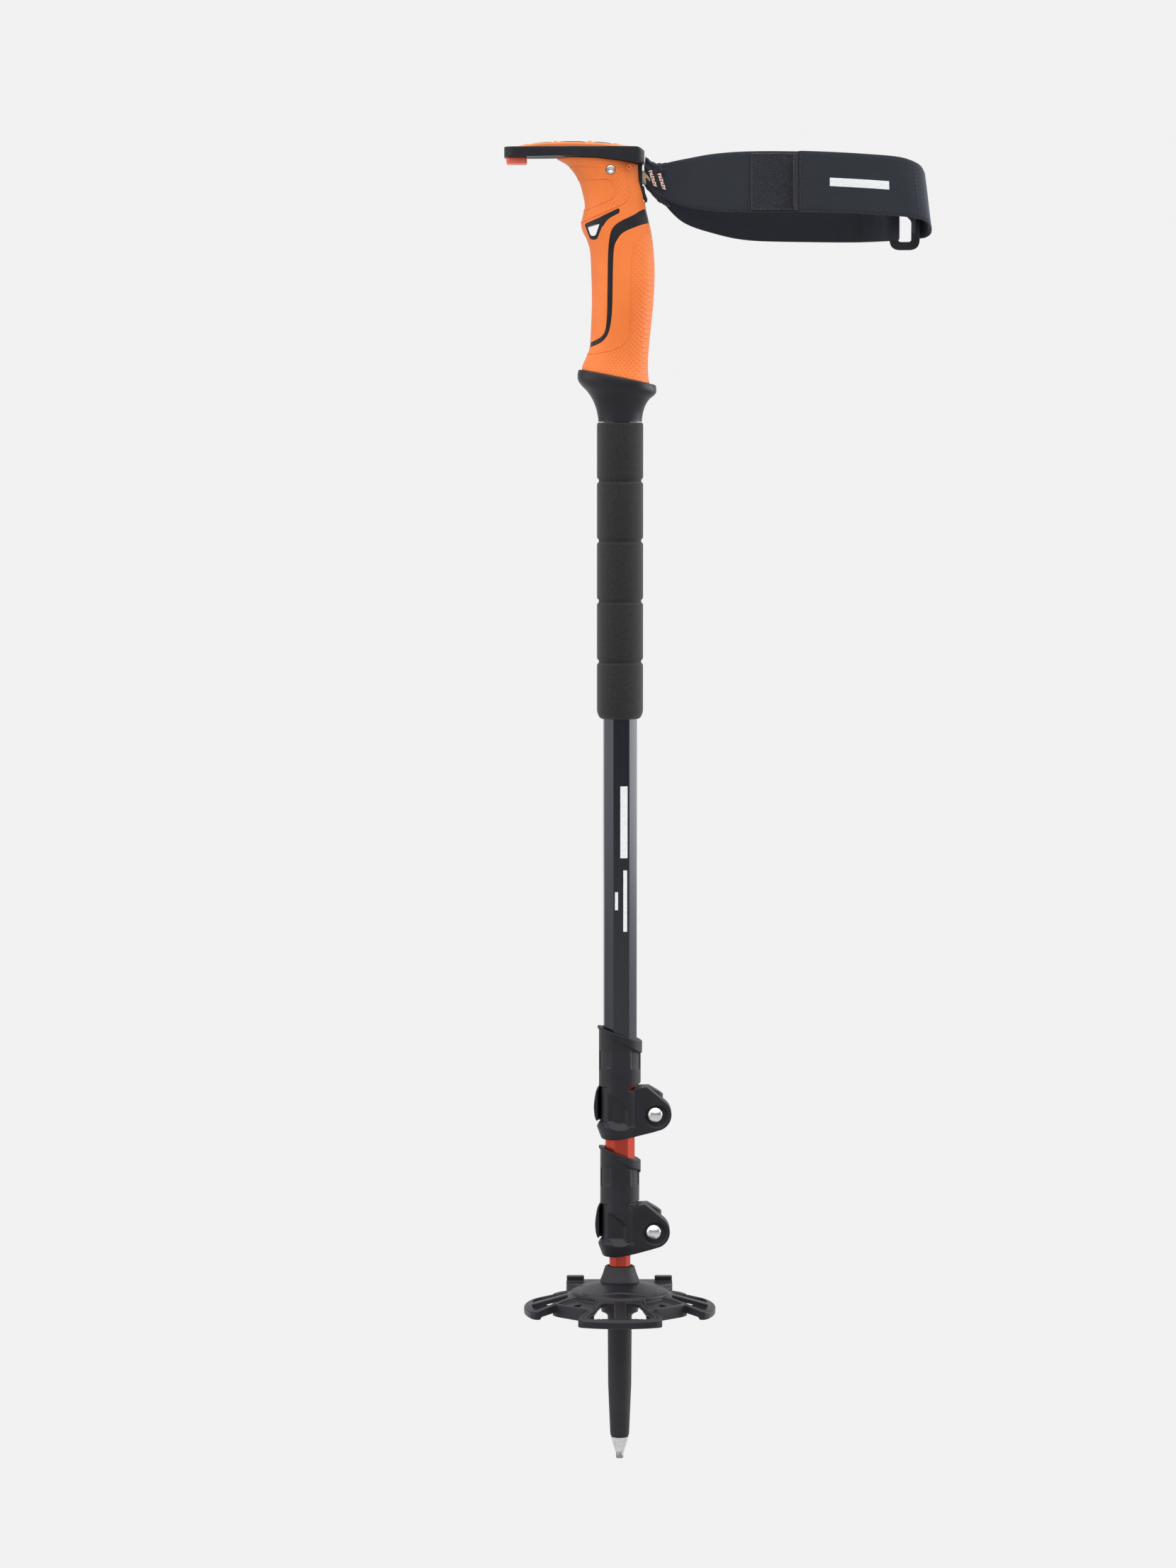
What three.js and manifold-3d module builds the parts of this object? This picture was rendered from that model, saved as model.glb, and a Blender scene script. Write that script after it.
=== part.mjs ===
// Telescoping ski touring pole in three sections, shown fully collapsed.
//
// Units are millimetres and +Z runs up the pole. Every height below is measured up from the
// carbide point, and the whole pole is lowered at the end so that the origin is the middle of
// the hand grip. The scraper beak of the head points to -X and the wrist strap to +X.

import * as THREE from 'three';
import { mergeVertices } from 'three/addons/utils/BufferGeometryUtils.js';
import Module from 'manifold-3d';

const wasm = await Module();
wasm.setup();

// ---------------------------------------------------------------- driving dimensions

const GAP = 0.3; // left between two pieces that touch
const HOLD_HEIGHT = 625; // middle of the hand grip

// Tubes are eight-sided: four wide facets and four narrow ones. radius is to the corners.
const WIDE_FACET_HALF_ANGLE = 25;
const TUBE_TURN = 5; // the front facet is turned this much towards +X
const UPPER_TUBE = { radius: 9.62, wall: 0.7, bottom: 203, top: 676 };
const BARE_LENGTH = { low: 232.6, high: 395 }; // of the upper tube, between its lock and the foam
const KEYED_DEPTH = 0.06; // abraded off the upper tube where pieces are bonded on
const MIDDLE_TUBE = { radius: 8.51, wall: 0.8, bottom: 140.5, top: 620 };
const LOWER_TUBE = { radius: 6.07, wall: 0.9, bottom: 96.5, top: 576 };

// Cam locks: one at the lower end of each outer tube. Heights are measured from the bolt.
const UPPER_LOCK = {
  name: 'upper_lock', boltHeight: 185.4, boltX: 18.7, sleeve: 11.1, topLeft: 46.7, topRight: 39,
  outerTube: UPPER_TUBE, innerTube: MIDDLE_TUBE,
};
const LOWER_LOCK = {
  name: 'lower_lock', boltHeight: 122.7, boltX: 17.9, sleeve: 10.4, topLeft: 45.3, topRight: 37.9,
  outerTube: MIDDLE_TUBE, innerTube: LOWER_TUBE,
};
const FRONT_EAR_Y = -8;
const BACK_EAR_Y = 4.1;
const EAR_SPLIT = 1.6;
const EAR_RADIUS = 7.9; // round end of the ears about the bolt
const WEAR_PLATE = { near: 4.4, far: 5, halfLength: 4.6, halfHeight: 6 };
const CAM = { y: 9.6, radius: 4.3, bore: 2.9, barrel: 2.6 };
const LEVER = { low: -5, high: 13.6, inner: 0.6, thickness: 2.3, endAngle: 189 };
const BOLT = { shank: 1.3, head: 4.33, recess: 6.2, recessDepth: 1.6, nose: 11.6 };

const FOAM = { bottom: 395.4, top: 551.6, radius: 12.2, groove: 1, grooveHeight: 2.6 };
const FOAM_GROOVES = [425.6, 457.5, 489.3, 520.9];
const FLANGE = { bottom: 551.9, neck: 11.5, left: -22.4, right: 19.1, halfWidth: 17.5 };
const FLANGE_SLOPE = 0.2035; // the flange's top plane falls towards +X
const FLANGE_TOP_AT_AXIS = 575;

const HEAD = { front: -60.8, back: 12.6, top: 695.4, underside: 689.8, halfWidth: 16.5 };
const PAD = { low: 693.2, margin: 5.2, crown: 699 };
const PIN = { x: -5.1, height: 683.2, radius: 2.46, halfLength: 13.2 };
const STRAP_SLOT = { halfWidth: 4.2, low: 676.5, high: 688 };
const SPINE_HALF_WIDTH = 5;
const SHELL_THICKNESS = 3;
const CORE_LIFT = 3.4; // floor of rubber under the core
const CORE_TOP = 691; // the core runs up into the head plate
const GRIP_SIDES = 20;
const GRIP_ROWS = 17;
const CORE_SIDES = 12;
const CORE_ROWS = 11;

const STRAP = { thickness: 2, ringX: 151.6 };

const FERRULE = { coneTop: 103.7, coneBottom: 94.6, bore: 6.45, neck: 7.5, shaftTop: 78 };
const HOLDER = { top: 11.6, bottom: 3.5, topRadius: 4.8, bottomRadius: 2.4, stem: 2.4 };
const CARBIDE = { radius: 2, shoulder: 3.2 };
const BASKET = { radius: 51, web: 37, hubRadius: 11, hubTop: 93.9, slope: 0.245, bore: 7.85 };
const PETAL_HALF_ANGLE = 26;

// ---------------------------------------------------------------- materials

const finish = (color, roughness, metalness = 0) =>
  new THREE.MeshStandardMaterial({ color, roughness, metalness });
const BLACK_PLASTIC = () => finish(0x33323a, 0.5);
const ORANGE_RUBBER = () => finish(0xf47a31, 0.55);
const RED_RUBBER = () => finish(0xd9553a, 0.5);
const FOAM_BLACK = () => finish(0x232325, 0.95);
const BLACK_ANODISED = () => finish(0x2a2c33, 0.3, 0.7);
const RED_ANODISED = () => finish(0xb83a2c, 0.3, 0.7);
const STEEL = () => finish(0xb9bbc0, 0.25, 1);
const CARBIDE_GREY = () => finish(0x8d8078, 0.5, 0.6);
const WEBBING = () => finish(0x262a2e, 0.9);
const TAN_TAPE = () => finish(0xa79a80, 0.9);

// ---------------------------------------------------------------- geometry helpers

const radians = (degrees) => degrees * Math.PI / 180;
const mix = (a, b, t) => a + (b - a) * t;

function solid(geometry) {
  const bare = geometry.clone();
  bare.deleteAttribute('normal');
  bare.deleteAttribute('uv');
  const merged = mergeVertices(bare, 1e-4);
  return new wasm.Manifold(new wasm.Mesh({
    numProp: 3,
    vertProperties: new Float32Array(merged.attributes.position.array),
    triVerts: new Uint32Array(merged.index.array),
  }));
}

function fromSolid(body) {
  const data = body.getMesh();
  const geometry = new THREE.BufferGeometry();
  geometry.setAttribute('position', new THREE.BufferAttribute(data.vertProperties, 3));
  geometry.setIndex(new THREE.BufferAttribute(data.triVerts, 1));
  geometry.computeVertexNormals();
  return geometry;
}

function piece(name, shape, material) {
  const geometry = shape instanceof THREE.BufferGeometry ? shape : fromSolid(shape);
  const mesh = new THREE.Mesh(geometry, material);
  mesh.name = name;
  return mesh;
}

// A closed outline of [x, y] points.
const outline = (points) => new THREE.Shape(points.map(([x, y]) => new THREE.Vector2(x, y)));

// A smooth open curve through [x, y] points, as a list of points.
const smooth = (points, count) =>
  new THREE.SplineCurve(points.map(([x, y]) => new THREE.Vector2(x, y)))
    .getPoints(count).map((p) => [p.x, p.y]);

// A prism standing between two heights.
function upright(shape, low, high, curveSegments = 8) {
  const geometry = new THREE.ExtrudeGeometry(shape, { depth: high - low, bevelEnabled: false, curveSegments });
  return geometry.translate(0, 0, low);
}

// A prism across the pole: the outline is drawn as (x, height).
function crosswise(shape, nearY, farY, curveSegments = 8) {
  const geometry = new THREE.ExtrudeGeometry(shape, { depth: farY - nearY, bevelEnabled: false, curveSegments });
  return geometry.rotateX(Math.PI / 2).translate(0, farY, 0);
}

// A turned piece about the pole's axis: [radius, height] points run up the outside and back.
function turned(points, segments = 24) {
  const profile = points.map(([radius, height]) => new THREE.Vector2(radius, height));
  return new THREE.LatheGeometry(profile, segments).rotateX(Math.PI / 2);
}

// A straight rod along Y.
const crossRod = (radius, nearY, farY, x, height, segments = 16) =>
  new THREE.CylinderGeometry(radius, radius, farY - nearY, segments)
    .translate(x, (nearY + farY) / 2, height);

// A box given by its lowest and highest corners.
function block([x0, y0, z0], [x1, y1, z1]) {
  return new THREE.BoxGeometry(x1 - x0, y1 - y0, z1 - z0)
    .translate((x0 + x1) / 2, (y0 + y1) / 2, (z0 + z1) / 2);
}

// A stack of rings: place(cos, sin, t) gives the wall point at fraction t of the height.
function stacked(segments, rows, place) {
  const geometry = new THREE.CylinderGeometry(1, 1, 1, segments, rows).rotateX(Math.PI / 2);
  const position = geometry.attributes.position;
  for (let i = 0; i < position.count; i += 1) {
    const [x, y, z] = place(position.getX(i), position.getY(i), position.getZ(i) + 0.5);
    position.setXYZ(i, x, y, z);
  }
  return geometry;
}

// A function that passes smoothly through [at, value] pairs, and is flat past both ends.
function through(pairs) {
  const slope = (i) => {
    const [a, b] = [pairs[Math.max(i - 1, 0)], pairs[Math.min(i + 1, pairs.length - 1)]];
    return (b[1] - a[1]) / (b[0] - a[0]);
  };
  return (at) => {
    if (at <= pairs[0][0]) return pairs[0][1];
    if (at >= pairs[pairs.length - 1][0]) return pairs[pairs.length - 1][1];
    const i = pairs.findIndex(([next]) => next > at) - 1;
    const [[x0, y0], [x1, y1]] = [pairs[i], pairs[i + 1]];
    const t = (at - x0) / (x1 - x0);
    const [m0, m1] = [slope(i) * (x1 - x0), slope(i + 1) * (x1 - x0)];
    return y0 * (1 + 2 * t) * (1 - t) ** 2 + m0 * t * (1 - t) ** 2
      + y1 * t * t * (3 - 2 * t) + m1 * t * t * (t - 1);
  };
}

// Rounds a circle towards a rectangle: power 2 is an ellipse, and more is squarer.
const squared = (value, power) => Math.sign(value) * Math.abs(value) ** (2 / power);

// ---------------------------------------------------------------- tubes

function octagon(radius) {
  const points = [];
  for (let side = 0; side < 4; side += 1) {
    for (const half of [-WIDE_FACET_HALF_ANGLE, WIDE_FACET_HALF_ANGLE]) {
      const angle = radians(-90 + TUBE_TURN + side * 90 + half);
      points.push([radius * Math.cos(angle), radius * Math.sin(angle)]);
    }
  }
  return points;
}

function octagonalTube({ radius, wall, bottom, top }) {
  const shape = outline(octagon(radius));
  shape.holes.push(new THREE.Path(octagon(radius - wall).map(([x, y]) => new THREE.Vector2(x, y))));
  return upright(shape, bottom, top);
}

// The upper tube keeps its full size only where it is bare.
function upperTube() {
  const { radius, wall, bottom, top } = UPPER_TUBE;
  return solid(upright(outline(octagon(radius - KEYED_DEPTH)), bottom, top))
    .add(solid(upright(outline(octagon(radius)), BARE_LENGTH.low, BARE_LENGTH.high)))
    .subtract(solid(upright(outline(octagon(radius - wall)), bottom - 1, top + 1)));
}

// A plug that is pushed into the top of a tube and stands a little above it.
function tubePlug({ radius, wall, top }, depth, collarHeight, collarRadius) {
  const stem = radius - wall - GAP * 1.2;
  const plug = solid(upright(outline(octagon(stem)), top - depth, top + GAP + 0.1));
  const collar = solid(upright(outline(octagon(collarRadius)), top + GAP, top + GAP + collarHeight));
  return plug.add(collar);
}

// ---------------------------------------------------------------- grip

const gripFront = through([
  [571, -20.4], [577, -19.8], [582, -17.9], [588, -16.1], [600, -15.3], [614, -14.9], [630, -15.3],
  [640, -15.9], [646, -17.6], [650, -19.6], [653.5, -20.5], [658, -19.7], [664, -18.6],
  [671, -19.8], [678, -22], [684, -25.8], [688, -30.5],
]);
const gripBack = through([
  [565, 18.6], [571, 16.8], [577, 15], [584, 14.5], [592, 14.9], [604, 16.1], [616, 17.3], [630, 18],
  [640, 17.7], [650, 16.6], [658, 15.1], [664, 13.6], [671, 12.4], [678, 10.4], [685, 10],
]);
const gripHalfWidth = through([[571, 15.6], [584, 13.2], [600, 13.6], [630, 14.4], [652, 13.6], [670, 13], [688, 14.2]]);

const flangeTop = (x) => FLANGE_TOP_AT_AXIS - FLANGE_SLOPE * x;

// The grip's outside, shrunk all round by inset, from the flange up to the head.
function gripBody(inset, segments, rows, bottomLift, top) {
  return stacked(segments, rows, (c, s, t) => {
    const guess = mix(FLANGE_TOP_AT_AXIS + bottomLift, top, t);
    const reach = Math.hypot(c, s);
    const front = gripFront(guess) + inset;
    const back = gripBack(guess) - inset;
    const x = (front + back) / 2 + squared(c, 2.3) * (back - front) / 2 * (reach > 0.5 ? 1 : 0);
    const y = squared(s, 2.3) * (gripHalfWidth(guess) - inset);
    const bottom = flangeTop(x) + bottomLift;
    return [x, y, mix(bottom, top, t)];
  });
}

// The black band let into both sides: from the back of the neck, down, and out to the front.
const BAND_UPPER_EDGE = [
  [24, 667], [12.2, 662.7], [6.9, 659.6], [-0.2, 656.1], [-3.8, 653], [-5.4, 649], [-6.4, 640],
  [-6.8, 610], [-7.5, 601], [-9.1, 597], [-12.6, 594.6], [-24, 590.8],
];
const BAND_LOWER_EDGE = [
  [-24, 588.6], [-11.7, 592.4], [-8.2, 595.2], [-6, 599.2], [-4.8, 605.4], [-3.9, 633],
  [-3.3, 642.8], [-1.5, 647.2], [1.6, 650.7], [8.7, 653.9], [24, 658],
];

function band(spread) {
  const upper = BAND_UPPER_EDGE.map(([x, height]) => [x - spread * 0.6, height + spread]);
  const lower = BAND_LOWER_EDGE.map(([x, height]) => [x + spread * 0.6, height - spread]);
  return solid(crosswise(outline([...upper, ...lower].reverse()), -30, 30));
}

// Everything above and in front of the middle of the band.
function aboveBand() {
  const middle = BAND_UPPER_EDGE.map(([x, height], i) => {
    const [lowX, lowHeight] = BAND_LOWER_EDGE[BAND_LOWER_EDGE.length - 1 - Math.min(i, 10)];
    return [(x + lowX) / 2, (height + lowHeight) / 2];
  });
  middle[11] = [-24, 589.7];
  return solid(crosswise(outline([...middle, [-80, 589.7], [-80, 720], [24, 720]].reverse()), -40, 40));
}

const EYE_SURROUND = [
  [-18.6, 654.6], [-14, 656.2], [-10.3, 657.4], [-8.9, 655.6], [-9.7, 652.8], [-11.2, 649.4],
  [-12.4, 647.6], [-14, 646.9], [-15.8, 647.6], [-18, 651],
];
const EYE_HOLE = [[-17, 653.5], [-11.3, 655.4], [-12.3, 651.6], [-13.7, 649.2], [-15.2, 649.3]];
const EYE_ARM = [
  [-12.5, 655.4], [-10.4, 658.4], [-1.3, 662.8], [-0.4, 662.2], [-0.9, 660.6], [-6.4, 657.4], [-9.5, 653.4],
];

const grown = (points, by) => {
  const centreX = points.reduce((sum, [x]) => sum + x, 0) / points.length;
  const centreZ = points.reduce((sum, [, z]) => sum + z, 0) / points.length;
  return points.map(([x, z]) => {
    const reach = Math.hypot(x - centreX, z - centreZ);
    const scale = (reach + by) / reach;
    return [centreX + (x - centreX) * scale, centreZ + (z - centreZ) * scale];
  });
};

// The black surround of the eye, right through the grip, and its arm on each side.
function eyeSurround(spread) {
  const tube = solid(crosswise(outline(grown(EYE_SURROUND, spread).reverse()), -20, 20));
  const arm = outline(grown(EYE_ARM, spread).reverse());
  const depth = 11.2 - spread;
  return tube.add(solid(crosswise(arm, -20, -depth))).add(solid(crosswise(arm, depth, 20)));
}

// ---------------------------------------------------------------- head

// Plan of the head: a long shield with round corners, drawn margin inside its edge.
function headPlan(margin) {
  const front = HEAD.front + margin;
  const back = HEAD.back - margin;
  const wide = HEAD.halfWidth - margin;
  const nose = wide - 3.5;
  const shape = new THREE.Shape();
  shape.moveTo(back, 0);
  shape.bezierCurveTo(back, wide * 0.7, back - 8, wide, back - 18, wide);
  shape.lineTo(-34, wide - 0.6);
  shape.bezierCurveTo(-46, wide - 1.4, front, nose + 1, front, nose - 5);
  shape.lineTo(front, -nose + 5);
  shape.bezierCurveTo(front, -nose - 1, -46, -wide + 1.4, -34, -wide + 0.6);
  shape.lineTo(back - 18, -wide);
  shape.bezierCurveTo(back - 8, -wide, back, -wide * 0.7, back, 0);
  return shape;
}

// Side of the head plate, which thickens into the neck at the back.
function headSide() {
  return outline([
    [-70, HEAD.top], [-70, HEAD.underside], [-45, 690.2], [-28, 690.4], [-12, 689.6], [0, 688.2],
    [9, 686.6], [20, 686.4], [20, HEAD.top - 4], [12.4, HEAD.top - 1.6], [9.6, HEAD.top],
  ]);
}

// The crowned line of the pad, lowered by drop.
function padSide(low, drop) {
  const crown = smooth([[-58, 695.3], [-50, 697.2], [-38, 698.5], [-24, PAD.crown], [-10, 698.5], [2, 697], [12, 695.2]], 12);
  return outline([...crown.map(([x, height]) => [x, height - drop]), [12, low], [-58, low]].reverse());
}

// Four openings in the pad that the black plate shows through.
function padWindows(shrink) {
  const rows = [[-48.4, -35, 6.5, 9], [-33, -17.2, 9, 9.4], [-14.6, -3.6, 9.4, 8.6], [-1, 3.2, 7.6, 5.4]];
  return rows.map(([left, right, frontHalf, backHalf]) => {
    const [a, b] = [frontHalf - shrink, backHalf - shrink];
    return solid(upright(outline([
      [left + shrink, -a], [right - shrink, -b], [right - shrink, b], [left + shrink, a],
    ]), 690, 705));
  });
}

function headPad() {
  let pad = solid(upright(headPlan(PAD.margin), PAD.low + GAP, 705)).intersect(
    solid(crosswise(padSide(PAD.low + GAP, 0), -30, 30)));
  for (const opening of padWindows(0)) pad = pad.subtract(opening);
  return pad;
}

function headPlate() {
  let plate = solid(upright(headPlan(0), 680, 700, 6)).intersect(solid(crosswise(headSide(), -30, 30)));
  plate = plate.subtract(solid(upright(headPlan(PAD.margin - GAP), PAD.low, 705)));
  for (const island of padWindows(GAP)) {
    plate = plate.add(island.intersect(solid(crosswise(padSide(692, 0.4), -30, 30))));
  }
  return plate;
}

// ---------------------------------------------------------------- grip pieces

const tubePocket = () => solid(upright(outline(octagon(UPPER_TUBE.radius + GAP * 1.2)), 540, 677.4));

// The slot in the back of the neck that the strap's tape goes into.
const strapSlot = () => solid(block([-11, -STRAP_SLOT.halfWidth, STRAP_SLOT.low], [30, STRAP_SLOT.halfWidth, STRAP_SLOT.high]));
const pinHole = () => solid(crossRod(PIN.radius + GAP, -30, 30, PIN.x, PIN.height));

// The spine at the back of the neck, between the head and the band.
const SPINE = [
  [7, 688.5], [11.4, 688.5], [11, 676], [11.2, 671.5], [12, 668.2], [13.5, 665.8], [14.6, 661], [15.4, 656], [7, 656],
];
const spine = () => solid(crosswise(outline([...SPINE].reverse()), -SPINE_HALF_WIDTH, SPINE_HALF_WIDTH));
const spineRoom = () => solid(block([7 - GAP, -SPINE_HALF_WIDTH - GAP, 656], [30, SPINE_HALF_WIDTH + GAP, 690]));

// One black moulding: head plate, core, spine, band and eye surround.
function gripFrame() {
  const inside = solid(gripBody(0, GRIP_SIDES, GRIP_ROWS, GAP, 690));
  const core = solid(gripBody(SHELL_THICKNESS, CORE_SIDES, CORE_ROWS, CORE_LIFT, CORE_TOP));
  const band_ = band(0).intersect(inside);
  const eye = eyeSurround(0).intersect(inside);
  return core.add(band_).add(eye).add(spine()).add(headPlate())
    .subtract(solid(crosswise(outline([...EYE_HOLE].reverse()), -30, 30)))
    .subtract(tubePocket()).subtract(strapSlot()).subtract(pinHole());
}

// The orange rubber over the core, before it is parted by the band.
function gripRubber() {
  const headRoom = solid(crosswise(outline([
    [-80, 689.3], [-45, 689.7], [-28, 689.9], [-12, 689.1], [0, 687.7], [9, 686.1], [40, 685.9], [40, 720], [-80, 720],
  ].reverse()), -40, 40));
  return solid(gripBody(0, GRIP_SIDES, GRIP_ROWS, GAP, 690))
    .subtract(solid(gripBody(SHELL_THICKNESS - GAP, CORE_SIDES, CORE_ROWS, CORE_LIFT - GAP, CORE_TOP)))
    .subtract(band(GAP)).subtract(eyeSurround(GAP)).subtract(spineRoom())
    .subtract(headRoom).subtract(tubePocket()).subtract(strapSlot()).subtract(pinHole());
}

// The flared flange that closes the grip's lower end and tapers to the foam.
function gripFlange() {
  const lipThickness = (c) => mix(3.2, 5.8, (c + 1) / 2);
  const flare = stacked(24, 5, (c, s, t) => {
    const grow = t < 0.6 ? (t / 0.6) ** 2.2 : 1;
    const halfX = mix(FLANGE.neck, (FLANGE.right - FLANGE.left) / 2, grow);
    const halfY = mix(FLANGE.neck, FLANGE.halfWidth, grow);
    const centre = mix(0, (FLANGE.right + FLANGE.left) / 2, grow);
    const tuck = t > 0.85 ? 1 - (t - 0.85) * 0.8 : 1;
    const x = centre + c * halfX * tuck;
    const lip = flangeTop(x) - lipThickness(c);
    const low = t < 0.6 ? mix(FLANGE.bottom, lip, t / 0.6) : mix(lip, flangeTop(x), (t - 0.6) / 0.4);
    return [x, s * halfY * tuck, low];
  });
  return solid(flare).subtract(tubePocket());
}

function foamSleeve() {
  const bore = UPPER_TUBE.radius + GAP;
  const wall = [[bore, FOAM.bottom], [10.4, FOAM.bottom], [11.6, FOAM.bottom + 1.6], [FOAM.radius, FOAM.bottom + 4]];
  for (const height of FOAM_GROOVES) {
    wall.push([FOAM.radius, height - FOAM.grooveHeight / 2], [FOAM.radius - FOAM.groove, height - 0.6]);
    wall.push([FOAM.radius - FOAM.groove, height + 0.6], [FOAM.radius, height + FOAM.grooveHeight / 2]);
  }
  wall.push([FOAM.radius, FOAM.top - 0.6], [FOAM.radius - 0.6, FOAM.top], [bore, FOAM.top], [bore, FOAM.bottom]);
  return turned(wall, 16);
}

function gripPieces() {
  const rubber = gripRubber();
  const upper = aboveBand();
  const pinBody = turned([[0, -PIN.halfLength], [PIN.radius, -PIN.halfLength], [PIN.radius, 6], [0, 6]], 16);
  const screw = turned([[0, 6 + GAP], [PIN.radius, 6 + GAP], [PIN.radius, PIN.halfLength], [0, PIN.halfLength]], 16);
  for (const rod of [pinBody, screw]) rod.rotateX(-Math.PI / 2).translate(PIN.x, 0, PIN.height);
  const tab = crosswise(outline([
    [11.5, 675], [12.4, 675], [13, 671.4], [14.2, 668.2], [14.1, 667], [13.4, 666.8], [12.6, 668.4], [11.6, 671.6],
  ].reverse()), -4.5, 4.5);
  return [
    piece('grip_frame', gripFrame(), BLACK_PLASTIC()),
    piece('head_pad', headPad(), ORANGE_RUBBER()),
    piece('grip_rubber_upper', rubber.intersect(upper), ORANGE_RUBBER()),
    piece('grip_rubber_lower', rubber.subtract(upper), ORANGE_RUBBER()),
    piece('scraper_insert', scraperInsert(), RED_RUBBER()),
    piece('strap_pin', pinBody, STEEL()),
    piece('strap_pin_screw', screw, STEEL()),
    piece('strap_wedge', tab, BLACK_PLASTIC()),
    piece('grip_flange', gripFlange(), BLACK_PLASTIC()),
    piece('foam_sleeve', foamSleeve(), FOAM_BLACK()),
  ];
}

// The soft scraper insert under the beak.
function scraperInsert() {
  const shape = outline([[-59.6, -8], [-58.6, -9], [-50, -9.6], [-49, -8.6], [-49, 8.6], [-50, 9.6], [-58.6, 9], [-59.6, 8]]);
  return upright(shape, 686.8, HEAD.underside - GAP);
}

// ---------------------------------------------------------------- cam locks

function lockBody(lock) {
  const { boltHeight, boltX, sleeve, outerTube, innerTube } = lock;
  const at = (height) => boltHeight + height;
  const rim = sleeve + 0.7;
  const sleeveBody = solid(turned([
    [0, at(-13.6)], [sleeve - 1.6, at(-13.6)], [sleeve + 0.8, at(-6.2)], [sleeve - 0.3, at(-4)],
    [sleeve - 0.3, at(14)], [sleeve, at(17)], [sleeve, at(50)], [0, at(50)],
  ], 28));
  const collar = solid(turned([[0, at(20)], [rim, at(20)], [rim, at(50)], [0, at(50)]], 28));
  const slope = (lock.topLeft - lock.topRight) / (2 * sleeve);
  const topAt = (x) => at((lock.topLeft + lock.topRight) / 2 - slope * x);
  const above = solid(crosswise(outline([[-20, topAt(-20)], [20, topAt(20)], [20, at(60)], [-20, at(60)]]), -20, 20));
  const bandUnder = (x) => topAt(x) - mix(0, 6, (x + sleeve) / (2 * sleeve));
  const collarBand = collar.subtract(solid(crosswise(outline([
    [-20, at(15)], [20, at(15)], [20, bandUnder(20)], [-20, bandUnder(-20)],
  ]), -20, 20)));
  const ears = solid(crosswise(earOutline(lock), FRONT_EAR_Y, BACK_EAR_Y));
  const bottomCut = solid(crosswise(outline([[-20, at(-30)], [30, at(-30)], [30, at(-4.4)], [-20, at(-16)]]), -20, 20));
  const recess = solid(crossRod(BOLT.recess, FRONT_EAR_Y - 5, FRONT_EAR_Y + BOLT.recessDepth, boltX, boltHeight, 20));
  return sleeveBody.add(collarBand).subtract(above).add(ears)
    .subtract(bottomCut).subtract(recess)
    .subtract(solid(upright(outline(octagon(outerTube.radius + GAP * 1.2)), outerTube.bottom - GAP, at(80))))
    .subtract(solid(upright(outline(octagon(innerTube.radius + GAP * 1.2)), at(-40), at(80))))
    .subtract(solid(block([5.8, -20, at(13.3)], [30, 20, at(16.3)])))
    .subtract(solid(block([0, -EAR_SPLIT / 2, at(-40)], [40, EAR_SPLIT / 2, at(14.5)])))
    .subtract(solid(crossRod(BOLT.shank + 0.4, -20, 20, boltX, boltHeight)));
}

// The two ears seen from the front: they run from the sleeve to a round end about the bolt.
function earOutline({ boltHeight, boltX, sleeve }) {
  const shape = new THREE.Shape();
  shape.moveTo(0, boltHeight - 13);
  shape.lineTo(boltX + EAR_RADIUS * Math.sin(radians(12)), boltHeight - EAR_RADIUS * Math.cos(radians(12)));
  shape.absarc(boltX, boltHeight, EAR_RADIUS, radians(-78), radians(52), false);
  shape.lineTo(boltX + 2.4, boltHeight + 10.5);
  shape.lineTo(boltX - 3.9, boltHeight + 13);
  shape.lineTo(sleeve - 4, boltHeight + 12);
  shape.lineTo(0, boltHeight + 12);
  return shape;
}

// The lever: a cam block about the barrel nut and an arm that wraps round the sleeve.
function lockLever({ boltHeight, boltX, sleeve }) {
  const inner = sleeve + LEVER.inner;
  const outer = inner + LEVER.thickness;
  const end = radians(LEVER.endAngle);
  const arm = new THREE.Shape();
  arm.moveTo(boltX, inner);
  arm.lineTo(0, inner);
  arm.absarc(0, 0, inner, Math.PI / 2, end, false);
  arm.lineTo(outer * Math.cos(end), outer * Math.sin(end));
  arm.absarc(0, 0, outer, end, Math.PI / 2, true);
  arm.lineTo(boltX, outer);
  const low = boltHeight + LEVER.low;
  const high = boltHeight + LEVER.high;
  const cam = new THREE.CylinderGeometry(CAM.radius, CAM.radius, high - low, 20)
    .rotateX(Math.PI / 2).translate(boltX, CAM.y, (low + high) / 2);
  const bore = new THREE.CylinderGeometry(CAM.bore, CAM.bore, 60, 16)
    .rotateX(Math.PI / 2).translate(boltX, CAM.y, boltHeight);
  const sweep = new THREE.Shape();
  sweep.moveTo(boltX, CAM.y);
  sweep.absarc(boltX, CAM.y, 9, radians(-112), radians(78), false);
  const slot = upright(sweep, boltHeight - BOLT.shank - 0.6, boltHeight + BOLT.shank + 0.6);
  return solid(upright(arm, low, high, 14)).add(solid(cam)).subtract(solid(bore)).subtract(solid(slot));
}

// The domed bolt that draws the ears together.
function lockBolt({ boltHeight, boltX }) {
  const face = FRONT_EAR_Y + BOLT.recessDepth - GAP;
  const profile = [[0, face - 2.6], [2.2, face - 2.2], [3.6, face - 1.3], [BOLT.head, face]];
  profile.push([BOLT.shank, face], [BOLT.shank, BOLT.nose], [0, BOLT.nose]);
  return turned(profile, 20).rotateX(-Math.PI / 2).translate(boltX, 0, boltHeight);
}

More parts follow.
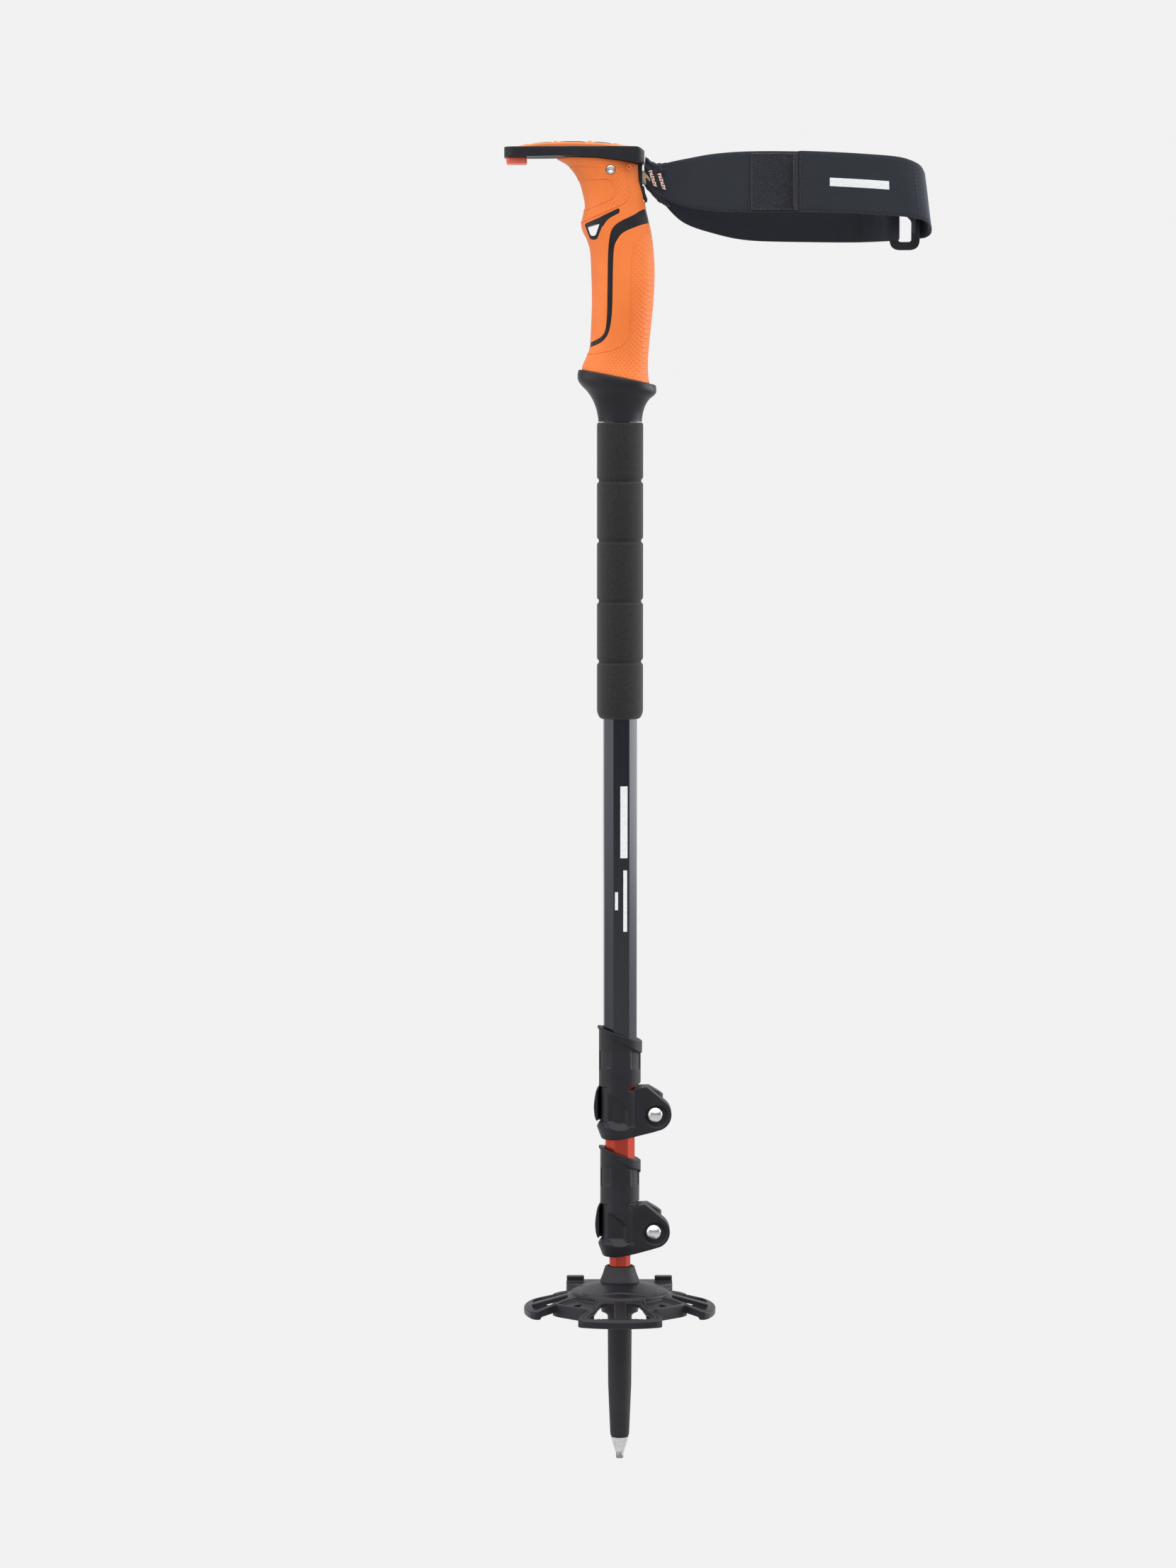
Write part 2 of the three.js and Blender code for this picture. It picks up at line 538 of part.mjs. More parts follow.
// The barrel nut that the lever turns on, with a cross hole for the bolt.
function barrelNut({ boltHeight, boltX }) {
  const rod = new THREE.CylinderGeometry(CAM.barrel, CAM.barrel, LEVER.high - LEVER.low - 1.6, 16)
    .rotateX(Math.PI / 2).translate(boltX, CAM.y, boltHeight + (LEVER.high + LEVER.low) / 2);
  return solid(rod).subtract(solid(crossRod(BOLT.shank + GAP, -20, 30, boltX, boltHeight, 12)));
}

function wearPlate({ boltHeight, boltX }) {
  const plate = block(
    [boltX - WEAR_PLATE.halfLength, WEAR_PLATE.near, boltHeight - WEAR_PLATE.halfHeight + 1],
    [boltX + WEAR_PLATE.halfLength, WEAR_PLATE.far, boltHeight + WEAR_PLATE.halfHeight]);
  return solid(plate).subtract(solid(crossRod(BOLT.shank + 0.4, -20, 20, boltX, boltHeight, 12)));
}

function lockPieces(lock) {
  return [
    piece(`${lock.name}_body`, lockBody(lock), BLACK_PLASTIC()),
    piece(`${lock.name}_lever`, lockLever(lock), BLACK_PLASTIC()),
    piece(`${lock.name}_bolt`, lockBolt(lock), STEEL()),
    piece(`${lock.name}_barrel_nut`, barrelNut(lock), STEEL()),
    piece(`${lock.name}_wear_plate`, wearPlate(lock), STEEL()),
  ];
}

// ---------------------------------------------------------------- tip and basket

// One moulding: a cone over the lower tube's end, a neck for the basket, and the tip shaft.
function tipFerrule() {
  const { coneTop, coneBottom, bore, neck, shaftTop } = FERRULE;
  const floor = LOWER_TUBE.bottom - GAP;
  const spigot = LOWER_TUBE.radius - LOWER_TUBE.wall - 1;
  return turned([
    [0, 30], [HOLDER.stem + GAP, 30], [HOLDER.stem + GAP, HOLDER.top + 0.4], [4.6, HOLDER.top + 0.4],
    [5.1, HOLDER.top + 1.4], [6.2, 40], [6.4, shaftTop - 1.5], [neck, shaftTop], [neck, shaftTop + 3.4],
    [neck + 0.4, shaftTop + 4.2], [neck, shaftTop + 5], [neck, coneBottom],
    [10.5, coneBottom], [10.3, coneBottom + 1.5], [7.9, coneTop - 1], [7.4, coneTop], [bore, coneTop],
    [bore, floor], [spigot, floor], [spigot, floor + 26], [spigot - 1, floor + 28], [0, floor + 28],
  ], 18);
}

function tipHolder() {
  return turned([
    [0, 9.6], [1.8, 9.6], [1.8, HOLDER.bottom], [HOLDER.bottomRadius, HOLDER.bottom],
    [HOLDER.topRadius, HOLDER.top], [HOLDER.stem, HOLDER.top], [HOLDER.stem, 29.4], [0, 29.4],
  ], 20);
}

function carbideTip() {
  return turned([
    [0, 0], [CARBIDE.radius - 0.3, 0], [CARBIDE.radius, 0.3], [CARBIDE.radius, CARBIDE.shoulder],
    [1.45, CARBIDE.shoulder], [1.45, 9.2], [0, 9.2],
  ], 16);
}

const petalEdge = (off) => {
  const { radius, web } = BASKET;
  return mix(radius, web, Math.min(Math.max((off - PETAL_HALF_ANGLE) / 5, 0), 1));
};

function basketPlan() {
  const points = [];
  for (let angle = 0; angle < 360; angle += 5) {
    const off = Math.abs(((angle + 45) % 90) - 45);
    const reach = petalEdge(off);
    points.push([reach * Math.cos(radians(angle)), reach * Math.sin(radians(angle))]);
  }
  return outline(points);
}

// A window in a petal, on one side of its rib. The petal points along angle.
function petalWindow(angle, side) {
  const corners = [[26.5, 3.2], [26.5, 5.4], [29.5, 9.2], [45, 18.2], [45.6, 3.2]];
  const turn = radians(angle);
  const points = corners.map(([out, across]) => [
    out * Math.cos(turn) - side * across * Math.sin(turn),
    out * Math.sin(turn) + side * across * Math.cos(turn),
  ]);
  return solid(upright(outline(side > 0 ? points : points.reverse()), 60, 120));
}

function snowBasket() {
  const { radius, hubRadius, hubTop, slope, bore } = BASKET;
  const topAt = (r) => hubTop - slope * (r - hubRadius);
  const groove = FERRULE.shaftTop + 4.2;
  let basket = solid(turned([
    [bore, 79], [hubRadius - 1, 79], [hubRadius, topAt(hubRadius) - 4], [24, topAt(24) - 2.6],
    [radius - 4.4, topAt(radius - 4.4) - 2.6], [radius - 4, 78.4], [radius, 78.4], [radius, topAt(radius)],
    [hubRadius, hubTop], [bore, hubTop], [bore, groove + 1.2], [bore + 0.4, groove], [bore, groove - 1.2],
    [bore, 79],
  ], 36)).intersect(solid(upright(basketPlan(), 60, 120)));
  for (const angle of [0, 180, 270]) {
    for (const side of [-1, 1]) basket = basket.subtract(petalWindow(angle, side));
  }
  for (const angle of [45, 135, 225, 315]) {
    const hole = new THREE.CylinderGeometry(1.7, 1.7, 40, 12).rotateX(Math.PI / 2)
      .translate(33 * Math.cos(radians(angle)), 33 * Math.sin(radians(angle)), 84);
    basket = basket.subtract(solid(hole));
  }
  const paddle = outline([[-20, 18], [20, 18], [28.4, 30], [28.4, 37], [24, 41.6], [-24, 41.6], [-28.4, 37], [-28.4, 30]]);
  basket = basket.add(solid(upright(paddle, 84.5, 89.8)));
  for (const side of [-1, 1]) {
    basket = basket.add(solid(block([Math.min(side * 19, side * 28.2), 33, 86], [Math.max(side * 19, side * 28.2), 37.5, 92])));
  }
  return basket;
}

function tipPieces() {
  return [
    piece('tip_ferrule', tipFerrule(), BLACK_PLASTIC()),
    piece('tip_holder', tipHolder(), STEEL()),
    piece('carbide_tip', carbideTip(), CARBIDE_GREY()),
    piece('snow_basket', snowBasket(), BLACK_PLASTIC()),
  ];
}

// ---------------------------------------------------------------- wrist strap

const strapHalf = through([[20, 12], [36, 14.4], [60, 15.5], [166, 15.5]]);

// A flat strip on edge along a path of [x, y, height of its middle] points.
function strip(path, count, thickness = STRAP.thickness, margin = 0) {
  const line = new THREE.CatmullRomCurve3(path.map((point) => new THREE.Vector3(...point)));
  const geometry = new THREE.BoxGeometry(1, 1, 1, count, 1, 1);
  const position = geometry.attributes.position;
  for (let i = 0; i < position.count; i += 1) {
    const u = position.getX(i) + 0.5;
    const centre = line.getPointAt(u);
    const along = line.getTangentAt(u).setZ(0).normalize();
    const off = position.getY(i) * thickness;
    const height = centre.z + position.getZ(i) * 2 * (strapHalf(centre.x) - margin);
    position.setXYZ(i, centre.x - along.y * off, centre.y + along.x * off, height);
  }
  return geometry;
}

// The front leg goes through the ring, round its far bar, and folds back over itself.
const FRONT_PATH = [
  [25, -2.6, 680], [45, -10, 678.6], [70, -14.6, 677.2], [100, -15.6, 677], [128, -12, 673],
  [146, -5.4, 665.4], [151.6, 0, 663.3], [154, 4.4, 663.3], [158, 5.6, 663.3], [162.6, 3, 664.4],
  [163.4, -3, 666.4], [158, -9.6, 671], [140, -15.3, 675], [118, -20, 677], [93, -21, 678],
];
const BACK_PATH = [
  [25, 2.6, 677], [45, 9, 667.4], [70, 13.4, 663.2], [100, 13.6, 662.6], [125, 9, 662.6], [141, 3.2, 663],
];

// The fuzzy patch on the front leg, and the hooked patch under the flap's end.
const LOOP_PATCH_PATH = [[68, -16.4, 677.3], [84, -17.4, 677.1], [100, -17.6, 677], [111, -17.2, 676.2]];
const HOOK_PATCH_PATH = [[94, -18.9, 678], [101, -18.9, 677.9], [108, -18.7, 677.6]];
const PATCH_THICKNESS = 0.8;

function strapRing() {
  const { ringX } = STRAP;
  const outer = new THREE.Shape();
  const [halfX, low, high, round] = [7.9, 641.8, 684.2, 3];
  outer.moveTo(ringX - halfX + round, low);
  outer.lineTo(ringX + halfX - round, low);
  outer.absarc(ringX + halfX - round, low + round, round, -Math.PI / 2, 0, false);
  outer.absarc(ringX + halfX - round, high - round, round, 0, Math.PI / 2, false);
  outer.absarc(ringX - halfX + round, high - round, round, Math.PI / 2, Math.PI, false);
  outer.absarc(ringX - halfX + round, low + round, round, Math.PI, Math.PI * 1.5, false);
  const hole = new THREE.Path();
  hole.moveTo(ringX - 3.4, low + 4.4);
  hole.lineTo(ringX - 3.4, high - 4.4);
  hole.lineTo(ringX + 3.4, high - 4.4);
  hole.lineTo(ringX + 3.4, low + 4.4);
  outer.holes.push(hole);
  return crosswise(outer, -1.5, 1.5, 4);
}

function strapPieces() {
  const gather = stacked(12, 4, (c, s, t) => {
    const x = mix(18.4, 24.4, t);
    const half = mix(5.5, 11.8, t);
    return [x, c * mix(2.4, 3.8, t), 680 + s * half];
  });
  const tape = block([13.2, -3.4, 677.6], [18, 3.4, 682]);
  const loop = new THREE.Shape();
  loop.moveTo(11.2, 677.7);
  loop.lineTo(11.2, 681.9);
  loop.lineTo(PIN.x + 3, 687.2);
  loop.absarc(PIN.x, PIN.height, 4.1, radians(55), radians(230), false);
  const eye = new THREE.Path();
  eye.absarc(PIN.x, PIN.height, PIN.radius + GAP, 0, Math.PI * 2, true);
  loop.holes.push(eye);
  return {
    fixed: [piece('strap_tape_loop', crosswise(loop, -3.4, 3.4), TAN_TAPE())],
    swinging: [
      piece('strap_tape', tape, TAN_TAPE()),
      piece('strap_gather', gather, WEBBING()),
      piece('strap_front_webbing', strip(FRONT_PATH, 40), WEBBING()),
      piece('strap_back_webbing', strip(BACK_PATH, 20), WEBBING()),
      piece('strap_loop_patch', strip(LOOP_PATCH_PATH, 8, PATCH_THICKNESS, 0.8), WEBBING()),
      piece('strap_hook_patch', strip(HOOK_PATCH_PATH, 4, PATCH_THICKNESS, 0.8), WEBBING()),
      piece('strap_ring', strapRing(), BLACK_PLASTIC()),
    ],
  };
}

// ---------------------------------------------------------------- assembly

const pole = new THREE.Group();
pole.position.z = -HOLD_HEIGHT;

const upperSection = new THREE.Group();
const strap = strapPieces();
upperSection.add(...gripPieces(), ...strap.fixed, ...lockPieces(UPPER_LOCK));
upperSection.add(piece('upper_tube', upperTube(), BLACK_ANODISED()));

const middleSection = new THREE.Group();
middleSection.add(piece('middle_tube', octagonalTube(MIDDLE_TUBE), RED_ANODISED()), ...lockPieces(LOWER_LOCK));
middleSection.add(piece('middle_tube_guide', tubePlug(MIDDLE_TUBE, 16, 8, 8.5), BLACK_PLASTIC()));

const lowerSection = new THREE.Group();
lowerSection.add(piece('lower_tube', octagonalTube(LOWER_TUBE), RED_ANODISED()), ...tipPieces());
lowerSection.add(piece('lower_tube_guide', tubePlug(LOWER_TUBE, 16, 10, 7.3), BLACK_PLASTIC()));

const strapGroup = new THREE.Group();
strapGroup.add(...strap.swinging);

pole.add(upperSection, middleSection, lowerSection, strapGroup);

export default pole;
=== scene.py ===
"""Looks of a telescoping ski touring pole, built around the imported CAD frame.

Shapes are drawn in millimetres with heights measured up from the carbide point, as the pole is
designed, and every mesh is turned into the frame's metres in one place, to_frame().
"""

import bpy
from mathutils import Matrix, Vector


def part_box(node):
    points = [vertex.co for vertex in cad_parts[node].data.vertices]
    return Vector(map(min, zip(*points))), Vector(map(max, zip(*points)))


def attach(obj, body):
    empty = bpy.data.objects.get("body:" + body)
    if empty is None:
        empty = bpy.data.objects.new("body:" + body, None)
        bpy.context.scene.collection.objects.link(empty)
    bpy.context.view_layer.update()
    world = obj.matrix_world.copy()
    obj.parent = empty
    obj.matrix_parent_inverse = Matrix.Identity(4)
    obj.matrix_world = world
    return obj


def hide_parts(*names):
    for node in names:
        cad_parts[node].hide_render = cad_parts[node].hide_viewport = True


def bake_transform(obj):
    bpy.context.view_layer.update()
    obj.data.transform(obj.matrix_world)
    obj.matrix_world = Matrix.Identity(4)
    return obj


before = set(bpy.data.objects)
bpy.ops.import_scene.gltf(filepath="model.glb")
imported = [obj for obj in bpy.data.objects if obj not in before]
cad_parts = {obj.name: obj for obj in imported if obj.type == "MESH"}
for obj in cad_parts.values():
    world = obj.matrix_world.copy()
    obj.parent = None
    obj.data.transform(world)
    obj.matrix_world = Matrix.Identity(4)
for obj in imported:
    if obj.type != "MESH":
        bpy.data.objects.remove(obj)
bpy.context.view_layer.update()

import math
import random

import bmesh
import bpy
from mathutils import Vector

# ------------------------------------------------------------------ driving sizes, from the frame

MM = 0.001
HOLD_HEIGHT = -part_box("carbide_tip")[0].z / MM  # the origin's height above the carbide point


def node_range(node, axis):
    low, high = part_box(node)
    lift = HOLD_HEIGHT if axis == 2 else 0
    return low[axis] / MM + lift, high[axis] / MM + lift


def node_mid(node, axis):
    return sum(node_range(node, axis)) / 2


TUBE_TURN = 5.0
WIDE_FACET_HALF_ANGLE = 25.0
FACET_SPREAD = 2 * math.cos(math.radians(WIDE_FACET_HALF_ANGLE - TUBE_TURN))

WHOLE_GRIP = (-60, 60)  # y limits of a cutter that passes right through the grip
ACROSS_LOCK = (-20, 20)  # y limits of a cutter that passes right through a lock
BASKET_SPAN = (60, 120)  # heights below and above the basket

# ------------------------------------------------------------------ mesh helpers


def to_frame(point):
    x, y, height = point
    return (x * MM, y * MM, (height - HOLD_HEIGHT) * MM)


def mesh_object(name, points, faces):
    mesh = bpy.data.meshes.new(name)
    mesh.from_pydata([to_frame(p) for p in points], [], faces)
    mesh.validate()
    obj = bpy.data.objects.new(name, mesh)
    bpy.context.scene.collection.objects.link(obj)
    clean(obj)
    return obj


def clean(obj, merge=1e-6):
    """Merges doubled corners and turns every face outwards."""
    work = bmesh.new()
    work.from_mesh(obj.data)
    bmesh.ops.remove_doubles(work, verts=work.verts, dist=merge)
    bmesh.ops.dissolve_degenerate(work, edges=work.edges, dist=merge / 2)
    bmesh.ops.recalc_face_normals(work, faces=work.faces)
    work.to_mesh(obj.data)
    work.free()


def through(pairs):
    """A function that passes smoothly through (at, value) pairs, and is flat past both ends."""
    def slope(i):
        low, high = pairs[max(i - 1, 0)], pairs[min(i + 1, len(pairs) - 1)]
        return (high[1] - low[1]) / (high[0] - low[0])

    def value(at):
        if at <= pairs[0][0]:
            return pairs[0][1]
        if at >= pairs[-1][0]:
            return pairs[-1][1]
        i = next(k for k, (edge, _) in enumerate(pairs) if edge > at) - 1
        (x0, y0), (x1, y1) = pairs[i], pairs[i + 1]
        t = (at - x0) / (x1 - x0)
        m0, m1 = slope(i) * (x1 - x0), slope(i + 1) * (x1 - x0)
        return (y0 * (1 + 2 * t) * (1 - t) ** 2 + m0 * t * (1 - t) ** 2
                + y1 * t * t * (3 - 2 * t) + m1 * t * t * (t - 1))

    return value


def mix(a, b, t):
    return a + (b - a) * t


def smoothstep(low, high, at):
    t = min(max((at - low) / (high - low), 0), 1)
    return t * t * (3 - 2 * t)


def squared(value, power):
    """Rounds a circle towards a rectangle: power 2 is an ellipse, and more is squarer."""
    return math.copysign(abs(value) ** (2 / power), value)


def spline(points, steps=6, closed=False):
    """Catmull-Rom points through a list of 2 or 3 number points."""
    count = len(points)
    out = []
    last = count if closed else count - 1
    for i in range(last):
        if closed:
            p0, p1, p2, p3 = (points[(i + k) % count] for k in (-1, 0, 1, 2))
        else:
            p0, p1, p2, p3 = (points[min(max(i + k, 0), count - 1)] for k in (-1, 0, 1, 2))
        for step in range(steps):
            t = step / steps
            out.append(tuple(
                0.5 * (2 * b + (c - a) * t + (2 * a - 5 * b + 4 * c - d) * t * t
                       + (3 * b - a - 3 * c + d) * t ** 3)
                for a, b, c, d in zip(p0, p1, p2, p3)))
    if not closed:
        out.append(tuple(points[-1]))
    return out


def rounded(points, radius, steps=4):
    """A closed 2-D outline with its corners rounded. radius is one number, or one for each corner."""
    radii = radius if isinstance(radius, (list, tuple)) else [radius] * len(points)
    out = []
    for i, (corner, r) in enumerate(zip(points, radii)):
        here, before, after = Vector(corner), Vector(points[i - 1]), Vector(points[(i + 1) % len(points)])
        a, b = (before - here), (after - here)
        reach = min(r, a.length * 0.45, b.length * 0.45)
        if reach < 1e-3:
            out.append(tuple(here))
            continue
        start, end = here + a.normalized() * reach, here + b.normalized() * reach
        for step in range(steps + 1):
            t = step / steps
            out.append(tuple(start * (1 - t) ** 2 + here * (2 * t * (1 - t)) + end * t * t))
    return out


def arc(centre, radius, start, end, steps):
    """Points on an arc, with its angles in degrees."""
    return [(centre[0] + radius * math.cos(math.radians(mix(start, end, k / steps))),
             centre[1] + radius * math.sin(math.radians(mix(start, end, k / steps))))
             for k in range(steps + 1)]


def between_faces(count):
    """The faces over two rings of count points and between them."""
    faces = [tuple(range(count)), tuple(range(2 * count - 1, count - 1, -1))]
    return faces + [(i, (i + 1) % count, count + (i + 1) % count, count + i) for i in range(count)]


def swept_faces(rows, size):
    """The faces along a skin of rows bands, with size points in each ring."""
    faces = []
    for row in range(rows):
        for k in range(size):
            a, b = row * size + k, row * size + (k + 1) % size
            faces.append((a, b, b + size, a + size))
    return faces


def end_faces(rows, size):
    """The two faces that close such a skin."""
    return [tuple(range(size)), tuple(rows * size + k for k in range(size - 1, -1, -1))]


def prism(name, outline, low, high, axis="y"):
    """A prism of an outline: (x, height) points across the pole for "y", or (x, y) points for "z"."""
    if axis == "y":
        points = [(a, level, b) for level in (low, high) for a, b in outline]
    else:
        points = [(a, b, level) for level in (low, high) for a, b in outline]
    return mesh_object(name, points, between_faces(len(outline)))


def turned(name, profile, segments=64, centre=(0, 0), axis="z"):
    """A closed turned body. profile is (radius, along) points, axis to axis or round a ring's section."""
    rings = []
    points = []
    for radius, along in profile:
        ring = []
        for k in range(1 if radius < 1e-6 else segments):
            angle = 2 * math.pi * k / segments
            c, s = radius * math.cos(angle), radius * math.sin(angle)
            ring.append(len(points))
            if axis == "z":
                points.append((centre[0] + c, centre[1] + s, along))
            else:
                points.append((centre[0] + c, along, centre[1] + s))
        rings.append(ring)
    faces = []
    closed = profile[0][0] > 1e-6
    pairs = list(zip(rings, rings[1:])) + ([(rings[-1], rings[0])] if closed else [])
    for a, b in pairs:
        for k in range(segments):
            quad = [a[k % len(a)], a[(k + 1) % len(a)], b[(k + 1) % len(b)], b[k % len(b)]]
            quad = list(dict.fromkeys(quad))
            if len(quad) > 2:
                faces.append(tuple(quad))
    return mesh_object(name, points, faces)


def rod(name, radius, low, high, segments, centre=(0, 0), axis="z"):
    """A plain cylinder."""
    return turned(name, [(0, low), (radius, low), (radius, high), (0, high)], segments, centre, axis)


def ringed(name, rows, sides, place):
    """A closed stack of rings: place(cos, sin, t) gives the wall point at fraction t of the way."""
    points = []
    for row in range(rows + 1):
        for k in range(sides):
            angle = 2 * math.pi * k / sides
            points.append(place(math.cos(angle), math.sin(angle), row / rows))
    faces = [tuple(range(sides - 1, -1, -1)), tuple(rows * sides + k for k in range(sides))]
    return mesh_object(name, points, faces + swept_faces(rows, sides))


def combine(obj, other, operation, keep=False):
    """Joins other to obj, cuts it away, or keeps what they share, and removes other."""
    modifier = obj.modifiers.new("Combine", "BOOLEAN")
    modifier.operation = operation
    modifier.solver = "EXACT"
    modifier.object = other
    apply_modifiers(obj)
    if not keep:
        bpy.data.objects.remove(other)
    return obj


def cut(obj, *others):
    for other in others:
        combine(obj, other, "DIFFERENCE")
    return obj


def join(obj, *others):
    for other in others:
        combine(obj, other, "UNION")
    return obj


def common(obj, other):
    return combine(obj, other, "INTERSECT")


def copy_of(obj, name):
    twin = obj.copy()
    twin.data = obj.data.copy()
    twin.name = name
    bpy.context.scene.collection.objects.link(twin)
    return twin


def apply_modifiers(obj):
    view = bpy.context.evaluated_depsgraph_get()
    view.update()
    made = bpy.data.meshes.new_from_object(obj.evaluated_get(view), preserve_all_data_layers=True,
        depsgraph=view)
    obj.modifiers.clear()
    old = obj.data
    obj.data = made
    bpy.data.meshes.remove(old)
    made.name = obj.name
    return obj


def moulded(obj, voxel=0.35, passes=4, keep=0.45):
    """Gives a body the soft edges of a moulding: remeshed finely, smoothed, then thinned."""
    remesh = obj.modifiers.new("Remesh", "REMESH")
    remesh.mode = "VOXEL"
    remesh.voxel_size = voxel * MM
    smooth = obj.modifiers.new("Smooth", "SMOOTH")
    smooth.iterations = passes
    smooth.factor = 0.5
    thin = obj.modifiers.new("Thin", "DECIMATE")
    thin.ratio = keep
    return apply_modifiers(obj)


def bevelled(obj, width, segments=2, angle=32):
    modifier = obj.modifiers.new("Edges", "BEVEL")
    modifier.width = width * MM
    modifier.segments = segments
    modifier.limit_method = "ANGLE"
    modifier.angle_limit = math.radians(angle)
    modifier.use_clamp_overlap = True
    return apply_modifiers(obj)


def shaded(obj, angle=35):
    """Smooth shading, but for edges sharper than angle."""
    for polygon in obj.data.polygons:
        polygon.use_smooth = True
    if angle < 180:
        obj.data.set_sharp_from_angle(angle=math.radians(angle))
    return obj


def finished(obj, material, body, replaced=(), angle=35):
    """Gives a piece its material and shading, and puts it on its body."""
    obj.data.materials.clear()
    obj.data.materials.append(material)
    shaded(obj, angle)
    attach(obj, body)
    if replaced:
        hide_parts(*replaced)
    return obj


# ------------------------------------------------------------------ materials


class Graph:
    """Short calls for making and joining nodes."""

    def __init__(self, tree):
        self.tree = tree

    def add(self, kind, **settings):
        node = self.tree.nodes.new(kind)
        for key, value in settings.items():
            setattr(node, key, value)
        return node

    def link(self, source, target):
        self.tree.links.new(source, target)

    def math(self, operation, a, b=0.0):
        node = self.add("ShaderNodeMath", operation=operation)
        for socket, value in zip(node.inputs, (a, b)):
            if isinstance(value, (int, float)):
                socket.default_value = value
            else:
                self.link(value, socket)
        return node.outputs[0]

    def eased(self, value, start, end, low, high):
        """low up to start and high past end, with a smooth climb between them."""
        node = self.add("ShaderNodeMapRange", interpolation_type="SMOOTHSTEP")
        for name, number in (("From Min", start), ("From Max", end), ("To Min", low), ("To Max", high)):
            node.inputs[name].default_value = number
        self.link(value, node.inputs["Value"])
        return node.outputs["Result"]


class Shader(Graph):
    """One node material, with short calls for the nodes that the finishes share."""

    def __init__(self, name, roughness, metallic=0.0, specular=0.5, sheen=0.0, coat=0.0):
        self.material = bpy.data.materials.new(name)
        self.material.use_nodes = True
        super().__init__(self.material.node_tree)
        self.bsdf = next(n for n in self.tree.nodes if n.type == "BSDF_PRINCIPLED")
        self.bsdf.inputs["Roughness"].default_value = roughness
        self.bsdf.inputs["Metallic"].default_value = metallic
        self.bsdf.inputs["Specular IOR Level"].default_value = specular
        self.bsdf.inputs["Sheen Weight"].default_value = sheen
        self.bsdf.inputs["Coat Weight"].default_value = coat
        self.coordinates = self.add("ShaderNodeTexCoord").outputs["Object"]

    def noise(self, scale, detail=3.0, stretch=(1, 1, 1)):
        mapping = self.add("ShaderNodeMapping")
        mapping.inputs["Scale"].default_value = stretch
        self.link(self.coordinates, mapping.inputs["Vector"])
        node = self.add("ShaderNodeTexNoise")
        node.inputs["Scale"].default_value = scale
        node.inputs["Detail"].default_value = detail
        self.link(mapping.outputs["Vector"], node.inputs["Vector"])
        return node.outputs["Fac"]

    def axes(self):
        node = self.add("ShaderNodeSeparateXYZ")
        self.link(self.coordinates, node.inputs[0])
        return node.outputs

    def wave(self, along, pitch):
        """A sine of a coordinate, from 0 to 1, that repeats every pitch metres."""
        turned_ = self.math("SINE", self.math("MULTIPLY", along, 2 * math.pi / pitch))
        return self.math("ADD", self.math("MULTIPLY", turned_, 0.5), 0.5)

    def ramp(self, factor, stops):
        node = self.add("ShaderNodeValToRGB")
        for element in list(node.color_ramp.elements)[2:]:
            node.color_ramp.elements.remove(element)
        while len(node.color_ramp.elements) < len(stops):
            node.color_ramp.elements.new(0.5)
        for element, (at, colour) in zip(node.color_ramp.elements, stops):
            element.position = at
            element.color = (*colour, 1)
        self.link(factor, node.inputs["Fac"])
        return node.outputs["Color"]

    def colour(self, source):
        self.link(source, self.bsdf.inputs["Base Color"])

    def roughen(self, factor, low, high):
        node = self.add("ShaderNodeMapRange")
        node.inputs["To Min"].default_value = low
        node.inputs["To Max"].default_value = high
        self.link(factor, node.inputs["Value"])
        self.link(node.outputs["Result"], self.bsdf.inputs["Roughness"])

    def bump(self, *layers):
        """layers are (height, strength, distance in millimetres)."""
        previous = None
        for height, strength, distance in layers:
            node = self.add("ShaderNodeBump")
            node.inputs["Strength"].default_value = strength
            node.inputs["Distance"].default_value = distance * MM
            self.link(height, node.inputs["Height"])
            if previous is not None:
                self.link(previous, node.inputs["Normal"])
            previous = node.outputs["Normal"]
        self.link(previous, self.bsdf.inputs["Normal"])


def black_plastic(name="black_nylon", tint=(0.0105, 0.0102, 0.014), grain=0.35, roughness=0.4):
    """Satin black nylon with a fine spark-eroded grain and faint flow marks."""
    s = Shader(name, roughness, specular=0.26)
    clouds = s.noise(60, 4)
    dark = tuple(c * 0.72 for c in tint)
    light = tuple(c * 1.25 for c in tint)
    s.colour(s.ramp(clouds, [(0.3, dark), (0.7, light)]))
    s.roughen(s.noise(240, 4), roughness - 0.06, roughness + 0.1)
    s.bump((s.noise(5200, 2), grain, 0.05), (s.noise(900, 3), 0.12, 0.08))
    return s.material


def orange_rubber(name="orange_rubber", scales=False):
    """Soft orange rubber. scales adds the moulded grip pattern of small overlapping diamonds."""
    s = Shader(name, 0.52, specular=0.35, sheen=0.08)
    s.bsdf.inputs["Sheen Tint"].default_value = (1.0, 0.62, 0.55, 1)
    s.bsdf.inputs["Sheen Roughness"].default_value = 0.45
    clouds = s.noise(45, 4)
    s.colour(s.ramp(clouds, [(0.25, (0.70, 0.152, 0.022)), (0.75, (0.77, 0.188, 0.035))]))
    s.roughen(s.noise(300, 3), 0.44, 0.58)
    layers = [(s.noise(4200, 2), 0.22, 0.05)]
    if scales:
        x, y, z = s.axes()
        across = s.math("ADD", x, s.math("MULTIPLY", s.math("ABSOLUTE", y), 0.6))
        rise = s.math("MULTIPLY", z, 0.75)
        one = s.wave(s.math("ADD", across, rise), 0.0021)
        two = s.wave(s.math("SUBTRACT", across, rise), 0.0021)
        diamonds = s.math("MINIMUM", s.math("POWER", one, 0.6), s.math("POWER", two, 0.6))
        layers.insert(0, (diamonds, 0.75, 0.22))
    s.bump(*layers)
    return s.material


